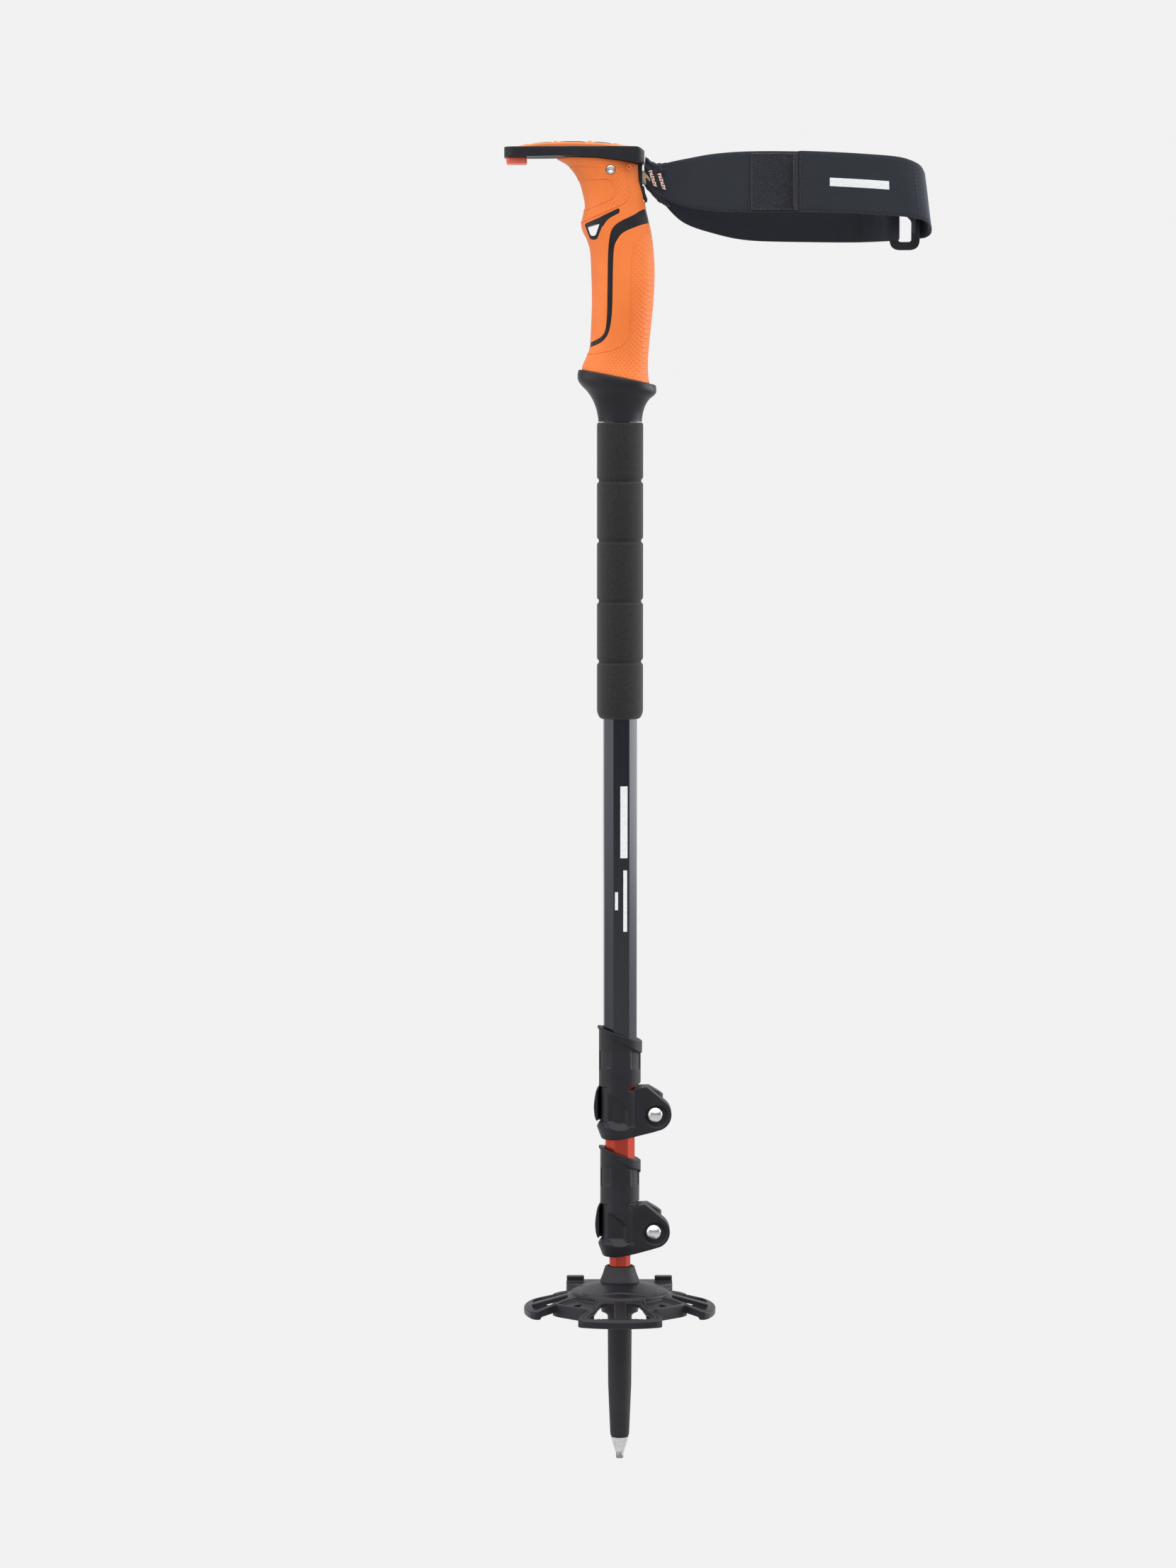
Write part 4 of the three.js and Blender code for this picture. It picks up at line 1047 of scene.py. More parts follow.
def lofted_cutter(name, inner, outer, deep_y, near_y):
    """A cutter across the pole that widens from the inner outline to the outer one."""
    points = [(x, deep_y, h) for x, h in inner] + [(x, near_y, h) for x, h in outer]
    return mesh_object(name, points, between_faces(len(inner)))


def tube_room(node, low, high, spare=0.3):
    radius = tube_radius(node)
    ring = [(x * (1 + spare / radius), y * (1 + spare / radius)) for x, y in tube_ring(radius)]
    return prism("tube_room", ring, low, high, "z")


def lock_shell(lock):
    """The sleeve, its slanted collar and the two clamping ears of one lock, as a single moulding."""
    (bolt_x, bolt_h), sleeve = lock["bolt"], lock["sleeve"]
    left, right = lock["top"]
    at = lambda height: bolt_h + height
    top_at = lambda x: at((left + right) / 2 - (left - right) / (2 * sleeve) * x)

    profile = [
        (0, -13.6), (sleeve - 1.9, -13.6), (sleeve - 1.2, -13.1), (sleeve + 1.0, -7.2), (sleeve + 1.05, -6.3),
        (sleeve + 0.45, -5.6), (sleeve + 0.45, 11), (sleeve, 16.5), (sleeve, 52), (0, 52)]
    shell = turned(lock["name"] + "_clamp", [(r, at(h)) for r, h in profile], 96)
    rim = sleeve + 0.75
    collar = rod("collar", rim, at(20), at(54), 96)
    under = [(-20, top_at(-20) + 1.5), (-sleeve, top_at(-sleeve) - 1.6), (0, top_at(0) - 3.6),
        (sleeve, top_at(sleeve) - 6.3), (20, top_at(20) - 8)]
    cut(collar, prism("below_collar", under[::-1] + [(-20, at(10)), (20, at(10))], *ACROSS_LOCK))
    join(shell, collar)
    bolt_arc = [(bolt_x + 0.1 + 8.6 * math.cos(math.radians(a)), at(8.6 * math.sin(math.radians(a))))
        for a in range(-80, 49, 8)]
    ear = [(0, at(-13.3)), (8, at(-11.7)), (bolt_x - 1, at(-9.3))] + bolt_arc
    ear += [(bolt_x - 4.5, at(15)), (9, at(14.2)), (0, at(14))]
    ears = prism("ears", ear, EAR_FRONT, EAR_BACK)
    join(shell, ears)
    above = prism("above", [(-20, top_at(-20)), (20, top_at(20)), (20, at(70)), (-20, at(70))], *ACROSS_LOCK)
    under_cut = prism("under_cut", [
        (-20, at(-30)), (40, at(-30)), (40, at(-6.3)), (9, at(-11.9)), (-3, at(-13.5)), (-20, at(-14))],
        *ACROSS_LOCK)
    slot = rounded([
        (5.2, at(12.9)), (5.6, at(15.3)), (8.9, at(15.7)), (12.6, at(17.2)), (17, at(19.5)), (40, at(19.5)),
        (40, at(15.5)),
        (bolt_x - 4.5, at(15.05)), (9, at(14.1)), (6.6, at(12.8))],
        [0.8, 0.9, 0.5, 0.6, 0.5, 0, 0, 0.4, 0.5, 0.8], 4)
    relief = prism("relief", slot, *ACROSS_LOCK)
    split = prism("split", [(0, at(-40)), (40, at(-40)), (40, at(14.6)), (0, at(14.6))], -0.8, 0.8)
    cut(shell, above, under_cut, relief, split)

    window_inner = [(-14, at(12.6)), (-8.6, at(12.4)), (-3.4, at(8.2)), (1.6, at(3.0)), (1.6, at(-3.2)),
        (-14, at(-3.2))]
    window_outer = [(-14, at(15.6)), (-7.4, at(15.2)), (-0.6, at(10.8)), (7.8, at(4.2)), (7.6, at(-9.4)),
        (-14, at(-9.4))]
    window = lofted_cutter("window", window_inner, window_outer, -8.8, -12.5)
    cut(window, rod("floor", sleeve - 1.55, at(-30), at(30), 96))
    side_cut = turned("side_cut", [
        (sleeve - 1.25, at(14.6)), (sleeve - 1.25, at(-3.2)), (sleeve + 1.5, at(-6.4)),
        (sleeve + 6, at(-6.4)),
        (sleeve + 6, at(15.4)), (sleeve + 0.1, at(14.8))], 96)
    common(side_cut, prism("left_half", [(-30, at(-20)), (-6.5, at(-20)), (-6.5, at(30)), (-30, at(30))],
        -9.5, 30))
    back_cut = turned("back_cut", [(sleeve - 0.2, at(14.4)), (sleeve - 0.2, at(-5.4)),
        (sleeve + 8, at(-5.4)), (sleeve + 8, at(14.9))], 96)
    common(back_cut, prism("back_half", [(-30, at(-20)), (bolt_x, at(-20)), (bolt_x, at(30)),
        (-30, at(30))], 4, 30))
    cut(shell, window, side_cut, back_cut)

    right_inner = [(7.1, at(32.6)), (14, at(32)), (14, at(20.6)), (8.4, at(25.9)), (7.4, at(25.7))]
    right_outer = [(5.2, at(34.9)), (15, at(34)), (15, at(17.2)), (8.2, at(24.3)), (5.5, at(24.3))]
    left_inner = [(-14, at(34)), (-6.6, at(33.6)), (-6.4, at(26.4)), (-7.6, at(26)), (-14, at(20.4))]
    left_outer = [(-15, at(36)), (-4.6, at(35.2)), (-4.4, at(24.6)), (-7.2, at(24.6)), (-15, at(17.4))]
    for inner_line, outer_line in ((right_inner, right_outer), (left_inner, left_outer)):
        dent = lofted_cutter("dent", inner_line, outer_line, -2, -sleeve - 0.6)
        cut(dent, rod("dent_floor", sleeve - 0.65, at(0), at(50), 96))
        cut(shell, dent)

    recess = turned("recess", [
        (0, EAR_FRONT + 1.7), (4.75, EAR_FRONT + 1.7), (6.9, EAR_FRONT - 0.3), (6.9, -20), (0, -20)],
        64, (bolt_x + 0.75, at(-0.45)), "y")
    bore = rod("bore", 1.7, -20, 20, 24, (bolt_x, at(0)), "y")
    outer_node, outer_end = lock["outer"]
    cut(shell, recess, bore, tube_room(outer_node, outer_end - 0.3, at(80)),
        tube_room(lock["inner"], at(-40), at(80)))
    moulded(shell, 0.27, 3, 0.4)
    return finished(shell, BLACK, lock["body"], [lock["name"] + "_body"], angle=60)


def lever_shell(lock):
    """The cam lever: an arm that wraps the back of the sleeve and ends in a curved thumb tab."""
    (bolt_x, bolt_h), sleeve = lock["bolt"], lock["sleeve"]
    inner, thick, bend_steps = sleeve + 0.6, 2.3, 36
    stations = [(Vector((mix(bolt_x, 0, k / 12), inner)), Vector((0, 1)), 90) for k in range(12)]
    for k in range(bend_steps + 1):
        angle = mix(90, 190, k / bend_steps)
        out = Vector((math.cos(math.radians(angle)), math.sin(math.radians(angle))))
        stations.append((out * inner, out, angle))
    belly = through([(-5, -1.2), (-3.8, -0.9), (0, -0.35), (4, -0.15), (9, -0.75), (12, -1.35),
        (14.5, -2.1)])
    rows = 22
    points = []
    for foot, out, angle in stations:
        tab = smoothstep(120, 178, angle)
        low, high = mix(-4.9, -3.9, tab), mix(13.7, 14.4, tab)
        ring = []
        for row in range(rows + 1):
            height = mix(low, high, row / rows)
            shift = belly(height) * tab
            edge = min(row, rows - row) / rows
            crown = 0.45 * (1 - min(edge * 6, 1)) ** 2
            ring.append((out * (thick + shift - crown), height))
        for row in range(rows, -1, -1):
            height = mix(low, high, row / rows)
            ring.append((out * (min(belly(height) + 1.15, 0) * tab), height))
        points += [(foot.x + step.x, foot.y + step.y, bolt_h + height) for step, height in ring]
    bands, size = len(stations) - 1, 2 * (rows + 1)
    faces = swept_faces(bands, size) + end_faces(bands, size)
    lever = mesh_object(lock["name"] + "_cam_lever", points, faces)

    cam_outline = arc((bolt_x, CAM_Y), 4.4, -200, 90, 30) + [(bolt_x - 5, inner + thick),
        (bolt_x - 5, inner)]
    join(lever, prism("cam", cam_outline, bolt_h - 4.9, bolt_h + 13.7, "z"))
    slope = [(bolt_x - 4.5, bolt_h + 14.5), (bolt_x + 4.5, bolt_h + 9.2), (bolt_x + 30, bolt_h + 9.2),
        (bolt_x + 30, bolt_h + 40), (bolt_x - 4.5, bolt_h + 40)]
    foot = [(bolt_x - 6, bolt_h - 5.4), (bolt_x + 6, bolt_h - 3.6), (bolt_x + 6, bolt_h - 20),
        (bolt_x - 6, bolt_h - 20)]
    bore = rod("bore", 2.9, bolt_h - 30, bolt_h + 7.2, 32, (bolt_x, CAM_Y))
    swing = [(bolt_x, CAM_Y)] + arc((bolt_x, CAM_Y), 9, -114, 95, 26)
    slit = prism("slit", swing, bolt_h - 1.9, bolt_h + 1.9, "z")
    cut(lever, prism("slope", slope, -30, 30), prism("foot", foot, -30, 30), bore, slit)
    moulded(lever, 0.24, 3, 0.42)
    return finished(lever, BLACK_FINE, lock["lever"], [lock["name"] + "_lever"], angle=60)


def lock_bolt(lock):
    bolt_x, bolt_h = lock["bolt"]
    face = EAR_FRONT + 1.55
    head, rim, rise, shank, reach = 4.33, 0.35, 2.65, 1.3, 11.6
    dome = [(0, face - 3.0)]
    for degrees in range(6, 91, 6):
        angle = math.radians(degrees)
        dome.append((head * math.sin(angle), face - rim - rise * math.cos(angle)))
    profile = dome + [(head, face), (shank, face), (shank, reach), (0, reach)]
    bolt = turned(lock["name"] + "_domed_bolt", profile, 64, (bolt_x, bolt_h), "y")
    finished(bolt, STEEL, lock["body"], [lock["name"] + "_bolt"], 50)
    nut = turned(lock["name"] + "_cross_nut", [
        (0, bolt_h - 4.0), (2.2, bolt_h - 4.0), (2.6, bolt_h - 3.6), (2.6, bolt_h + 6.4),
        (2.2, bolt_h + 6.8), (0, bolt_h + 6.8)],
        32, (bolt_x, CAM_Y))
    finished(nut, STEEL, lock["body"], [lock["name"] + "_barrel_nut"], 40)


for cam_lock in (UPPER_LOCK, LOWER_LOCK):
    lock_shell(cam_lock)
    lever_shell(cam_lock)
    lock_bolt(cam_lock)

# ------------------------------------------------------------------ tip and basket


def make_tip():
    cone_bottom, cone_top, neck = 94.6, 103.7, 7.5
    bore = 6.45
    shaft = [
        (0, 30), (2.7, 30), (2.7, 12), (4.3, 12), (4.75, 12.25), (4.95, 12.8), (5.1, 14), (6.2, 40),
        (6.42, 76), (6.6, 77.4),
        (neck, 78), (neck, 81.4), (neck + 0.4, 82.2), (neck, 83), (neck, cone_bottom - 0.2),
        (9.9, cone_bottom - 0.2), (10.35, cone_bottom + 0.2), (10.5, cone_bottom + 0.9),
        (10.3, cone_bottom + 1.7), (9.6, cone_bottom + 3.4),
        (8.9, 99.8), (8.3, 101.9), (8.0, 102.7), (7.95, 103.1), (7.7, 103.5), (7.3, cone_top),
        (bore + 0.15, cone_top), (bore, cone_top - 0.3),
        (bore, 96.2), (4.1, 96.2), (4.1, 122), (3, 124), (0, 124)]
    finished(turned("tip_shaft", shaft, 72), MATT_SHAFT, "lower_section", ["tip_ferrule"],
        40)
    holder = [(0, 9.6), (1.75, 9.6), (1.75, 3.5), (2.2, 3.5), (2.42, 3.8), (2.7, 4.8), (4.6, 10.9),
        (4.75, 11.3), (4.72, 11.7), (4.5, 11.85), (2.4, 11.85), (2.4, 29.4), (0, 29.4)]
    finished(turned("steel_tip_holder", holder, 64), STEEL, "lower_section", ["tip_holder"], 40)
    point = [(0, 0.0), (0.7, 0.35), (1.35, 0.05), (1.75, 0.1), (1.95, 0.35), (1.98, 3.0), (1.75, 3.3),
        (1.5, 3.3), (1.5, 9.2), (0, 9.2)]
    finished(turned("carbide_point", point, 40), CARBIDE, "lower_section", ["carbide_tip"], 40)


PETAL_HALF = 26.5
RIM_RADIUS = 51
DOME_TOP = 93.9


def dome_height(r):
    return DOME_TOP - 0.245 * (max(r, 11) - 11)


def petal_top(r):
    return 88.8 - 0.273 * (r - 26.5)


def polar(out, across, turn):
    c, s = math.cos(math.radians(turn)), math.sin(math.radians(turn))
    return (out * c - across * s, out * s + across * c)


def petal_outline(turn, inset=0.0):
    """The plan of one petal, from the dome out to its rounded rim."""
    half = math.radians(PETAL_HALF) - inset / 40
    reach = RIM_RADIUS - inset
    corner_out, corner_across = reach * math.cos(half), reach * math.sin(half)
    rim = [(reach * math.cos(half * k / 6), reach * math.sin(half * k / 6)) for k in range(-5, 6)]
    inner_across = 12.6 - inset * 0.9
    line = [(18 + inset, -inner_across), (28, -inner_across - 0.8), (corner_out - 1.5, -corner_across)]
    line += rim + [(corner_out - 1.5, corner_across), (28, inner_across + 0.8), (18 + inset, inner_across)]
    radii = [0, 4, 4] + [0] * len(rim) + [4, 4, 0]
    return [polar(x, y, turn) for x, y in rounded(line, radii, 6)]


def petal_window(turn, side):
    """One opening of a petal, on one side of its middle rib."""
    line = [(27.6, 3.1 * side), (27.6, 9.6 * side), (43.6, 18.2 * side), (45.9, 14.6 * side),
        (46.9, 3.1 * side)]
    return [polar(x, y, turn) for x, y in rounded(line, [1, 1.6, 1.8, 3, 1], 5)]


def gathered(name, parts):
    """One mesh of several closed bodies, which a moulding pass then fuses."""
    points, faces = [], []
    for part in parts:
        start = len(points)
        points += [v.co.copy() for v in part.data.vertices]
        faces += [tuple(start + k for k in polygon.vertices) for polygon in part.data.polygons]
        bpy.data.objects.remove(part)
    mesh = bpy.data.meshes.new(name)
    mesh.from_pydata(points, [], faces)
    obj = bpy.data.objects.new(name, mesh)
    bpy.context.scene.collection.objects.link(obj)
    return obj


def scalloped(reach, dip, name):
    """A plan with four bays, one toward each petal."""
    line = [polar(reach - dip * (0.5 + 0.5 * math.cos(math.radians(4 * a))) ** 0.8, 0, a)
        for a in range(0, 360, 3)]
    return prism(name, line, *BASKET_SPAN, "z")


def basket_web(turn):
    """The sunken web between two petals, with its drain hole and the wall along its edge."""
    floor_top = lambda r: petal_top(r) - 1.5
    plan = [(20, -5.5), (25, -7.4), (35.4, -12.4), (37.0, -7), (37.0, 7), (35.4, 12.4), (25, 7.4),
        (20, 5.5)]
    web = turned("web", [(19, floor_top(25)), (19, floor_top(25) - 1.6), (38, floor_top(38) - 1.6),
        (38, floor_top(38)), (25, floor_top(25))], 132)
    common(web, prism("web_plan", [polar(x, y, turn) for x, y in plan], *BASKET_SPAN, "z"))
    hole = [polar(31.8 + 2.3 * math.cos(math.radians(a)), 2.1 * math.sin(math.radians(a)), turn)
        for a in range(0, 360, 15)]
    cut(web, prism("web_hole", hole, *BASKET_SPAN, "z"))
    edge = rounded([(33.6, -14.4), (35.7, -9.4), (35.7, 9.4), (33.6, 14.4), (35.3, 15.2), (37.5, 9.9),
        (37.5, -9.9), (35.3, -15.2)], [0, 4, 4, 0, 0, 4, 4, 0], 5)
    return [web, prism("web_wall", [polar(x, y, turn) for x, y in edge], 79.2, petal_top(36) - 0.1, "z")]


def basket_petal(turn, windows):
    top = petal_top
    petal = turned("petal", [
        (17, top(17) - 2.4), (RIM_RADIUS - 4.6, top(RIM_RADIUS - 4.6) - 2.4), (RIM_RADIUS - 4.2, 78.6),
        (RIM_RADIUS - 3.6, 78.1),
        (RIM_RADIUS - 0.6, 78.1), (RIM_RADIUS + 1, 79.7), (RIM_RADIUS + 1, top(RIM_RADIUS) - 1.6),
        (RIM_RADIUS - 0.6, top(RIM_RADIUS - 0.6)),
        (24, top(24)), (17, top(24))], 139)
    common(petal, prism("petal_plan", petal_outline(turn), *BASKET_SPAN, "z"))
    walls = turned("walls", [
        (16, top(16) - 4), (27, top(27) - 3.4), (36, 81.6), (RIM_RADIUS - 0.6, 78.6),
        (RIM_RADIUS - 0.6, top(RIM_RADIUS) - 0.4),
        (24, top(24) - 0.4), (16, top(24) - 0.4)], 131)
    common(walls, prism("wall_plan", petal_outline(turn, 0.05), *BASKET_SPAN, "z"))
    cut(walls, prism("wall_inside", petal_outline(turn, 2.3), *BASKET_SPAN, "z"))
    groove = turned("groove", [(25, top(25) - 0.7), (RIM_RADIUS + 1, top(RIM_RADIUS + 1) - 0.7),
        (RIM_RADIUS + 1, 96), (25, 96)], 127)
    common(groove, prism("groove_plan", petal_outline(turn, 1.35), *BASKET_SPAN, "z"))
    cut(groove, prism("groove_island", petal_outline(turn, 2.15), *BASKET_SPAN, "z"))
    cut(petal, groove)
    if windows:
        for side in (-1, 1):
            cut(petal, prism("opening", petal_window(turn, side), *BASKET_SPAN, "z"))
    rib_plan = ((24, -1.1), (RIM_RADIUS - 2, -1.1), (RIM_RADIUS - 2, 1.1), (24, 1.1))
    rib = prism("rib", [polar(x, y, turn) for x, y in rib_plan], 79.4, top(RIM_RADIUS - 2) - 0.5, "z")
    return [petal, walls, rib]


def make_basket():
    top = dome_height
    bore, hub = 7.85, 11.0
    dome = turned("dome", [
        (bore, 79), (hub - 1.2, 79), (hub, top(hub) - 4.2), (22, top(22) - 3.0),
        (26.2, petal_top(26.2) - 2.6),
        (26.2, top(26.2) - 0.7), (25.9, top(25.9) - 0.3), (25.3, top(25.3)), (hub, DOME_TOP),
        (bore, DOME_TOP), (bore, 83.4), (bore + 0.4, 82.2), (bore, 81)], 120)
    raised = turned("raised", [(bore, 88), (25, top(25) - 0.6), (25, top(25) + 0.6), (hub, DOME_TOP + 0.7),
        (bore, DOME_TOP + 0.7)], 96)
    common(raised, scalloped(25.2, 5.5, "hub_plan"))
    collar = turned("collar", [(bore, 92), (10.3, 92), (10.3, DOME_TOP + 1.2), (bore, DOME_TOP + 1.2)], 72)
    parts = [dome, raised, collar]
    for turn in (45, 135, 225, 315):
        parts += basket_web(turn)
    for turn in (0, 90, 180, 270):
        parts += basket_petal(turn, turn != 90)
    paddle = rounded([(-20, 17), (20, 17), (28.6, 29), (28.6, 37), (24, 42), (-24, 42), (-28.6, 37),
        (-28.6, 29)], 2, 4)
    parts.append(prism("paddle", paddle, 84.4, 89.4, "z"))
    for side in (-1, 1):
        line = [(side * 19, 32.6), (side * 19, 37.6), (side * 28.4, 37.6), (side * 28.4, 32.6)]
        parts.append(prism("lug", rounded(line, 1.2, 3), 85, 92.4, "z"))
    basket = moulded(gathered("powder_basket", parts), 0.34, 3, 0.4)
    finished(basket, BLACK_FINE, "basket", ["snow_basket"], angle=60)


make_tip()
make_basket()

# ------------------------------------------------------------------ wrist strap


class Strip:
    """A band of webbing on edge. controls are (x, y, top, bottom, lean) along its middle."""

    def __init__(self, controls, count, thickness=1.7, end_round=0.0, ripple=0.0):
        fine = spline(controls, 40)
        lengths = [0.0]
        for a, b in zip(fine, fine[1:]):
            lengths.append(lengths[-1] + math.dist(a[:2], b[:2]))
        self.length, self.count, self.thickness = lengths[-1], count, thickness
        self.end_round, self.ripple = end_round, ripple
        self.rows = []
        at = 0
        for k in range(count + 1):
            want = self.length * k / count
            while at < len(fine) - 2 and lengths[at + 1] < want:
                at += 1
            share = (want - lengths[at]) / max(lengths[at + 1] - lengths[at], 1e-9)
            self.rows.append(tuple(mix(a, b, min(share, 1)) for a, b in zip(fine[at], fine[at + 1])))

    def point(self, t, u, lift=0.0):
        """The place at share t of the length and u of the width, lifted to the left of the way along."""
        place = min(max(t, 0), 1) * self.count
        k = min(int(place), self.count - 1)
        x, y, top, bottom, lean = (mix(a, b, place - k) for a, b in zip(self.rows[k], self.rows[k + 1]))
        ahead, behind = self.rows[min(k + 2, self.count)], self.rows[max(k - 1, 0)]
        along = Vector((ahead[0] - behind[0], ahead[1] - behind[1])).normalized()
        left = (1 - t) * self.length
        inset = 0.0
        if left < self.end_round:
            r = self.end_round
            inset = (r - math.sqrt(max(r * r - (r - left) ** 2, 0))) / (top - bottom)
        v = mix(inset, 1 - inset, u)
        wave = self.ripple * (math.sin(t * self.length * 0.11 + v * 2.4)
                              + 0.5 * math.sin(t * self.length * 0.27 - v * 4.1))
        lift += wave
        return (x - along.y * lift + lean * (0.5 - v), y + along.x * lift, mix(bottom, top, v))

    def t_at(self, x, after=0.0):
        """The first share of the length past after where the band's middle crosses x."""
        for k in range(int(after * self.count), self.count):
            a, b = self.rows[k][0], self.rows[k + 1][0]
            if min(a, b) <= x <= max(a, b):
                return (k + (x - a) / (b - a if b != a else 1)) / self.count
        return 1.0

    def mesh(self, name, across=22, start=0.0, end=1.0, lift=0.0, margin=0.0, roughen=0.0, thickness=None):
        half = (thickness or self.thickness) / 2
        stations = max(int(self.count * (end - start)), 2)
        chance = random.Random(7)
        points = []
        for k in range(stations + 1):
            t = mix(start, end, k / stations)
            for side in (1, -1):
                order = range(across + 1) if side > 0 else range(across, -1, -1)
                for row in order:
                    u = mix(margin, 1 - margin, row / across)
                    edge = min(row, across - row)
                    thin = half * (0.55 if edge == 0 else 1.0 if edge > 1 else 1.08)
                    rough = chance.uniform(-1, 1) * roughen if edge and 0 < k < stations else 0
                    points.append(self.point(t, u, lift + side * thin + rough))
        size = 2 * (across + 1)
        return mesh_object(name, points, end_faces(stations, size) + swept_faces(stations, size))


def stitches(name, pairs, width, material, body="strap", sides=6):
    """Short stitches of thread, each a plump capsule between two points."""
    points, faces = [], []
    shares = ((0.0, 0.0), (0.08, 0.65), (0.3, 1.0), (0.7, 1.0), (0.92, 0.65), (1.0, 0.0))
    for a, b in pairs:
        a, b = Vector(a), Vector(b)
        along = (b - a).normalized()
        one = along.orthogonal().normalized()
        two = along.cross(one)
        rings = []
        for share, swell in shares:
            ring = []
            for k in range(sides if swell else 1):
                angle = 2 * math.pi * k / sides
                ring.append(len(points))
                spoke = one * math.cos(angle) + two * math.sin(angle)
                points.append(tuple(a.lerp(b, share) + spoke * width / 2 * swell))
            rings.append(ring)
        for low, high in zip(rings, rings[1:]):
            for k in range(sides):
                quad = list(dict.fromkeys([low[k % len(low)], low[(k + 1) % len(low)],
                    high[(k + 1) % len(high)], high[k % len(high)]]))
                faces.append(tuple(quad))
    thread_piece = mesh_object(name, points, faces)
    return finished(thread_piece, material, body, angle=180)


def stitch_line(strip, starts, ends, pitch, fill, lift):
    """Stitches on a strip, along the line between two (share of length, share of width) places."""
    (t0, u0), (t1, u1) = starts, ends
    a, b = Vector(strip.point(t0, u0, lift)), Vector(strip.point(t1, u1, lift))
    count = max(int((b - a).length / pitch), 1)
    rows = []
    for k in range(count):
        one, two = k / count, (k + fill) / count
        rows.append((strip.point(mix(t0, t1, one), mix(u0, u1, one), lift),
            strip.point(mix(t0, t1, two), mix(u0, u1, two), lift)))
    return rows


def selvedge(name, strip, start, end, lifts=(0.0,)):
    """The small loops of the weft along both edges of a strip."""
    pairs = []
    steps = int(strip.length * (end - start) / 1.05)
    for k in range(steps):
        t0, t1 = mix(start, end, k / steps), mix(start, end, (k + 0.72) / steps)
        for u in (0.0, 1.0):
            for lift in lifts:
                pairs.append((strip.point(t0, u, lift), strip.point(t1, u, lift)))
    return stitches(name, pairs, 0.42, BLACK_THREAD)


FRONT_CONTROLS = [
    (22, -2.4, 686.8, 668.6, 0), (35, -6.5, 689.2, 664.3, 0), (49.5, -11, 691.5, 661.9, 0),
    (69, -14.6, 692.6, 661.3, 0),
    (100, -15.6, 692.3, 661.3, 0), (126, -15, 691, 660.9, 0), (140, -13.6, 689.2, 660.6, 0),
    (148, -12.4, 687, 659.8, 0),
    (152.4, -8, 684, 656.4, 0.6), (153.6, -3, 681, 651.4, 0.8), (154.0, 0.5, 679.6, 649.2, 0.8),
    (154.6, 3.4, 679, 648.4, 0.8),
    (156.8, 4.8, 679.2, 648.2, 1.6), (159.4, 2.6, 680.2, 648.8, 3.4), (160.9, -2.6, 682.2, 651.2, 4.6),
    (158.4, -9.4, 685.8, 655.8, 4.6),
    (152.6, -13.6, 688.3, 658.0, 3.6), (144.4, -15.9, 689.9, 659, 2), (129, -18.4, 691, 660, 0.6),
    (109, -20.3, 692, 661, 0),
    (90.1, -21.2, 692.6, 661.5, 0)]
BACK_CONTROLS = [
    (22, 2.4, 686.4, 667.4, 0), (33, 6, 685, 656.9, 0), (48.5, 10.5, 681.5, 651.3, 0),
    (68, 13.4, 678.8, 647.5, 0),
    (100, 13.6, 678, 646.6, 0), (124, 9.5, 677.6, 646.3, 0), (137.6, 4.4, 677.4, 646.6, 0),
    (142.0, 2.9, 677.3, 646.8, 0),
    (145.0, 2.3, 677.3, 646.9, 0), (145.7, 0.2, 677.3, 646.9, 0), (144.8, -2.1, 677.3, 646.9, 0),
    (141.3, -2.7, 677.2, 646.8, 0),
    (137.6, 0.6, 677.2, 646.8, 0), (133, 4.0, 677.2, 646.7, 0), (127.5, 6.1, 677.2, 646.6, 0)]


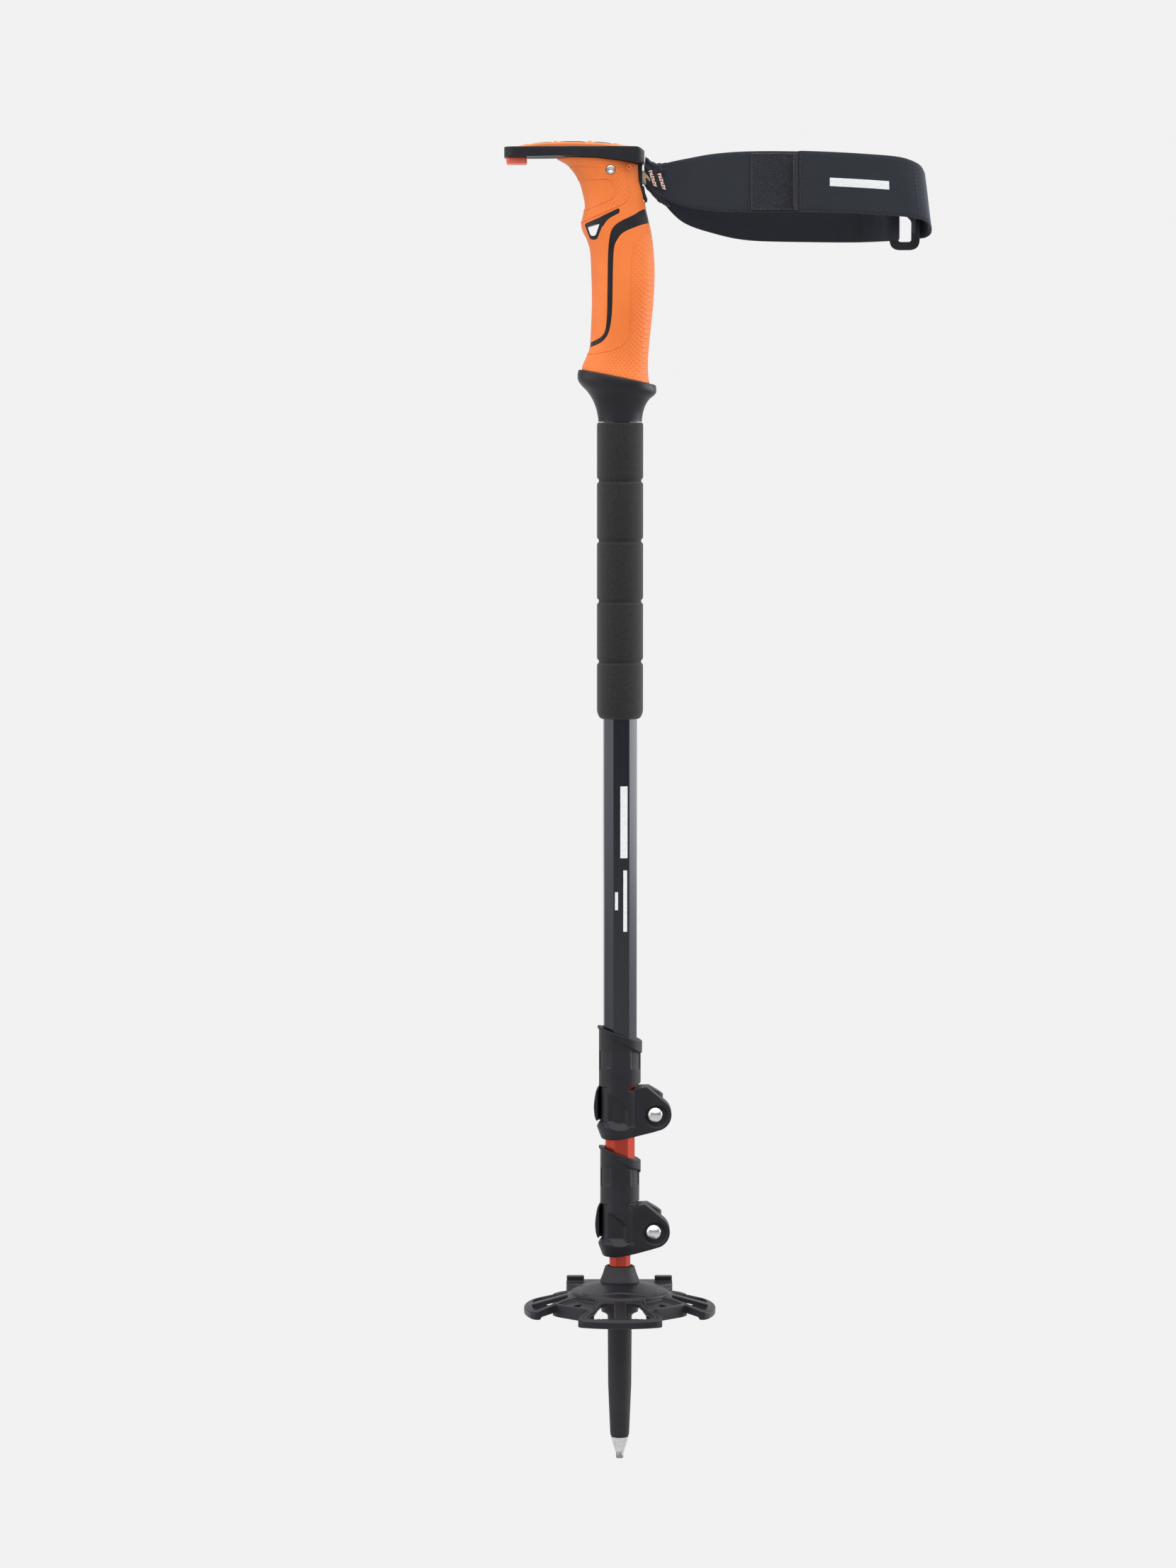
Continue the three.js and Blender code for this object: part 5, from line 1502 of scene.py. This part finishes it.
def make_webbing():
    fine = 1
    front = Strip(FRONT_CONTROLS, int(420 * fine), end_round=3.4, ripple=0.22)
    back = Strip(BACK_CONTROLS, int(260 * fine), ripple=0.2)
    finished(front.mesh("strap_front_band"), WEBBING, "strap", ["strap_front_webbing"], 50)
    finished(back.mesh("strap_back_band"), WEBBING, "strap", ["strap_back_webbing"], 50)
    selvedge("strap_front_selvedge", front, 0.02, 0.985)
    selvedge("strap_back_selvedge", back, 0.02, 0.99)

    patch_from, patch_to = front.t_at(68.4), front.t_at(109)
    pile = front.mesh("loop_pile_patch", across=90 if fine == 1 else 40, start=patch_from, end=patch_to,
        lift=-1.5, margin=0.03, roughen=0.16, thickness=1.1)
    finished(pile, PILE, "strap", ["strap_loop_patch"], 180)
    edge = []
    pitch, filled, lift = 2.2, 0.7, -2.05
    for t in (patch_from + 0.002, patch_to - 0.002):
        edge += stitch_line(front, (t, 0.04), (t, 0.96), pitch, filled, lift)
    for u in (0.045, 0.955):
        edge += stitch_line(front, (patch_from, u), (patch_to, u), pitch, filled, lift)
    stitches("patch_stitching", edge, 0.5, BLACK_THREAD)

    hook_from = front.t_at(105, 0.6)
    hooks = front.mesh("hook_patch", across=60 if fine == 1 else 30, start=hook_from, end=0.994, lift=-1.3,
        margin=0.05, roughen=0.1, thickness=0.9)
    finished(hooks, PILE, "strap", ["strap_hook_patch"], 180)
    hem = front.mesh("flap_hem", across=22, start=1 - 2.5 / front.length, end=1.0, lift=0.95, margin=0.004,
        thickness=0.8)
    finished(hem, WEBBING, "strap", angle=50)
    overlock = []
    rows = 30
    for k in range(rows):
        u = (k + 0.5) / rows
        tilt = 0.35 / rows
        overlock.append((front.point(1 - 2.1 / front.length, u - tilt, 1.5),
            front.point(1 - 0.1 / front.length, u + tilt, 1.2)))
    stitches("flap_overlock", overlock, 0.62, BLACK_THREAD)
    fold = front.t_at(154, 0.72)
    hem_seam = 1 - 3.4 / front.length
    flap_seams = stitch_line(front, (fold, 0.03), (fold, 0.97), 2.0, 0.68, 0.95)
    flap_seams += stitch_line(front, (hem_seam, 0.06), (hem_seam, 0.94), 2.0, 0.68, 0.98)
    stitches("flap_seams", flap_seams, 0.5, BLACK_THREAD)
    label = front.mesh("flap_plain_bar", across=8, start=front.t_at(140, 0.72), end=front.t_at(109, 0.72),
        lift=0.9, margin=0.43, thickness=0.16)
    finished(label, MARK, "strap", angle=50)

    zigzags = []
    turns = 22
    for x in (131.6, 136.4):
        t = back.t_at(x)
        swing = 0.75 / back.length
        for k in range(turns):
            a = (t + swing * (-1) ** k, k / turns * 0.94 + 0.03)
            b = (t - swing * (-1) ** k, (k + 0.9) / turns * 0.94 + 0.03)
            for lift in (1.0, -1.0):
                zigzags.append((back.point(*a, lift), back.point(*b, lift)))
    stitches("ring_seams", zigzags, 0.55, BLACK_THREAD)


def make_gather():
    """The sewn end of the webbing, where both legs are folded together round the tape."""
    start, end = 12.9, 26
    top = through([(start, 691.0), (14.2, 689.8), (16.4, 688.2), (19, 687.3), (end, 687.6)])
    bottom = through([(start, 675.8), (14.4, 673.6), (17, 670.7), (20.4, 667.0), (end, 664.2)])
    depth = through([(start, 2.2), (14, 3.0), (18, 3.7), (22, 3.9), (end, 3.6)])
    lumps = random.Random(11)
    phases = [lumps.uniform(0, 6.28) for _ in range(4)]

    def place(c, s, t):
        x = mix(start, end, t)
        middle, half = (top(x) + bottom(x)) / 2, (top(x) - bottom(x)) / 2
        height = squared(s, 3.2)
        fold = (0.42 * math.sin(height * 7.5 + x * 0.25 + phases[0])
                + 0.25 * math.sin(height * 15 - x * 0.5 + phases[1]))
        pucker = 0.2 * math.sin(x * 2.1 + phases[2] + height * 3) + 0.12 * math.sin(x * 4.7 + phases[3])
        y = squared(c, 2.6) * (depth(x) + fold + pucker)
        sway = 0.35 * math.sin(height * 5 + phases[1]) * (1 - t)
        return x + sway, y, middle + height * (half + pucker * 0.8)

    gather = ringed("strap_gather_fold", 60, 96, place)
    finished(gather, WEBBING, "strap", ["strap_gather"], 60)
    tacks = []
    for (x0, h0), (x1, h1) in (((15.7, 682.9), (18.2, 675.4)), ((20.4, 681.3), (22.9, 673.8))):
        for k in range(6):
            x, h = mix(x0, x1, k / 5), mix(h0, h1, k / 5)
            y = -depth(x) - 0.62
            tilt = 0.55 if k % 2 else -0.25
            tacks.append(((x - 1.1, y + 0.12, h + tilt), (x + 1.1, y, h - tilt)))
            if k < 5:
                xn, hn = mix(x0, x1, (k + 1) / 5), mix(h0, h1, (k + 1) / 5)
                tacks.append(((x + 0.5 * (-1) ** k, y - 0.1, h), (xn + 0.5 * (-1) ** k, y - 0.1, hn)))
    tacks += [((x, -y, h), (x1, -y1, h1)) for (x, y, h), (x1, y1, h1) in tacks]
    stitches("strap_bar_tacks", tacks, 0.75, PALE_THREAD)


def make_tape():
    """The ribbed tape from the grip's slot to the sewn end."""
    line = spline([(4, 681.4), (8, 680.8), (11.5, 680.0), (14, 679.0), (17.5, 677.6)], 10)
    half = 3.3
    points = []
    for k, (x, h) in enumerate(line):
        rib = 0.14 * math.sin(k * 1.9)
        for y, lift in ((-2.2, -half), (-2.8, -half * 0.5), (-2.9, 0), (-2.8, half * 0.5), (-2.2, half),
                (-0.8, half + 0.2), (-0.6, 0), (-0.8, -half - 0.2)):
            points.append((x, (y + 0.9) * (1 + rib * 0.4) - 0.9, h + lift * (1 + rib * 0.15)))
    bands, size = len(line) - 1, 8
    faces = swept_faces(bands, size) + end_faces(bands, size)
    pieces = [mesh_object("tape_near", points, faces)]
    pieces.append(mesh_object("tape_far", [(x, -y, h) for x, y, h in points], faces))
    tape = gathered("strap_lacing_tape", pieces)
    tape.data.materials.append(TAPE)
    shaded(tape, 60)
    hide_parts("strap_tape", "strap_tape_loop")
    to_frame((10.5, 0, 680))
    to_frame((16.5, 0, 679))
    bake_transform(tape)


def make_ring():
    x, low, high, half_thick = 149.4, 641.8, 684.0, 1.55
    outline = rounded([(x - 7.9, low), (x + 7.9, low), (x + 7.9, high), (x - 7.9, high)], 5.6, 8)
    hole = rounded([(x - 3.5, low + 4.3), (x + 3.5, low + 4.3), (x + 3.5, high - 4.3),
        (x - 3.5, high - 4.3)], 1.6, 5)
    ring = cut(prism("strap_buckle_ring", outline, -half_thick, half_thick), prism("hole", hole, -5, 5))
    moulded(ring, 0.22, 6, 0.35)
    finished(ring, BLACK_FINE, "strap", ["strap_ring"], 60)


make_webbing()
make_gather()
make_tape()
make_ring()

# ------------------------------------------------------------------ unseen pieces keep their shape

for node, material in (
        ("upper_lock_wear_plate", STEEL), ("lower_lock_wear_plate", STEEL),
        ("middle_tube_guide", BLACK), ("lower_tube_guide", BLACK)):
    part = bpy.data.objects[node]
    part.data.materials.clear()
    part.data.materials.append(material)
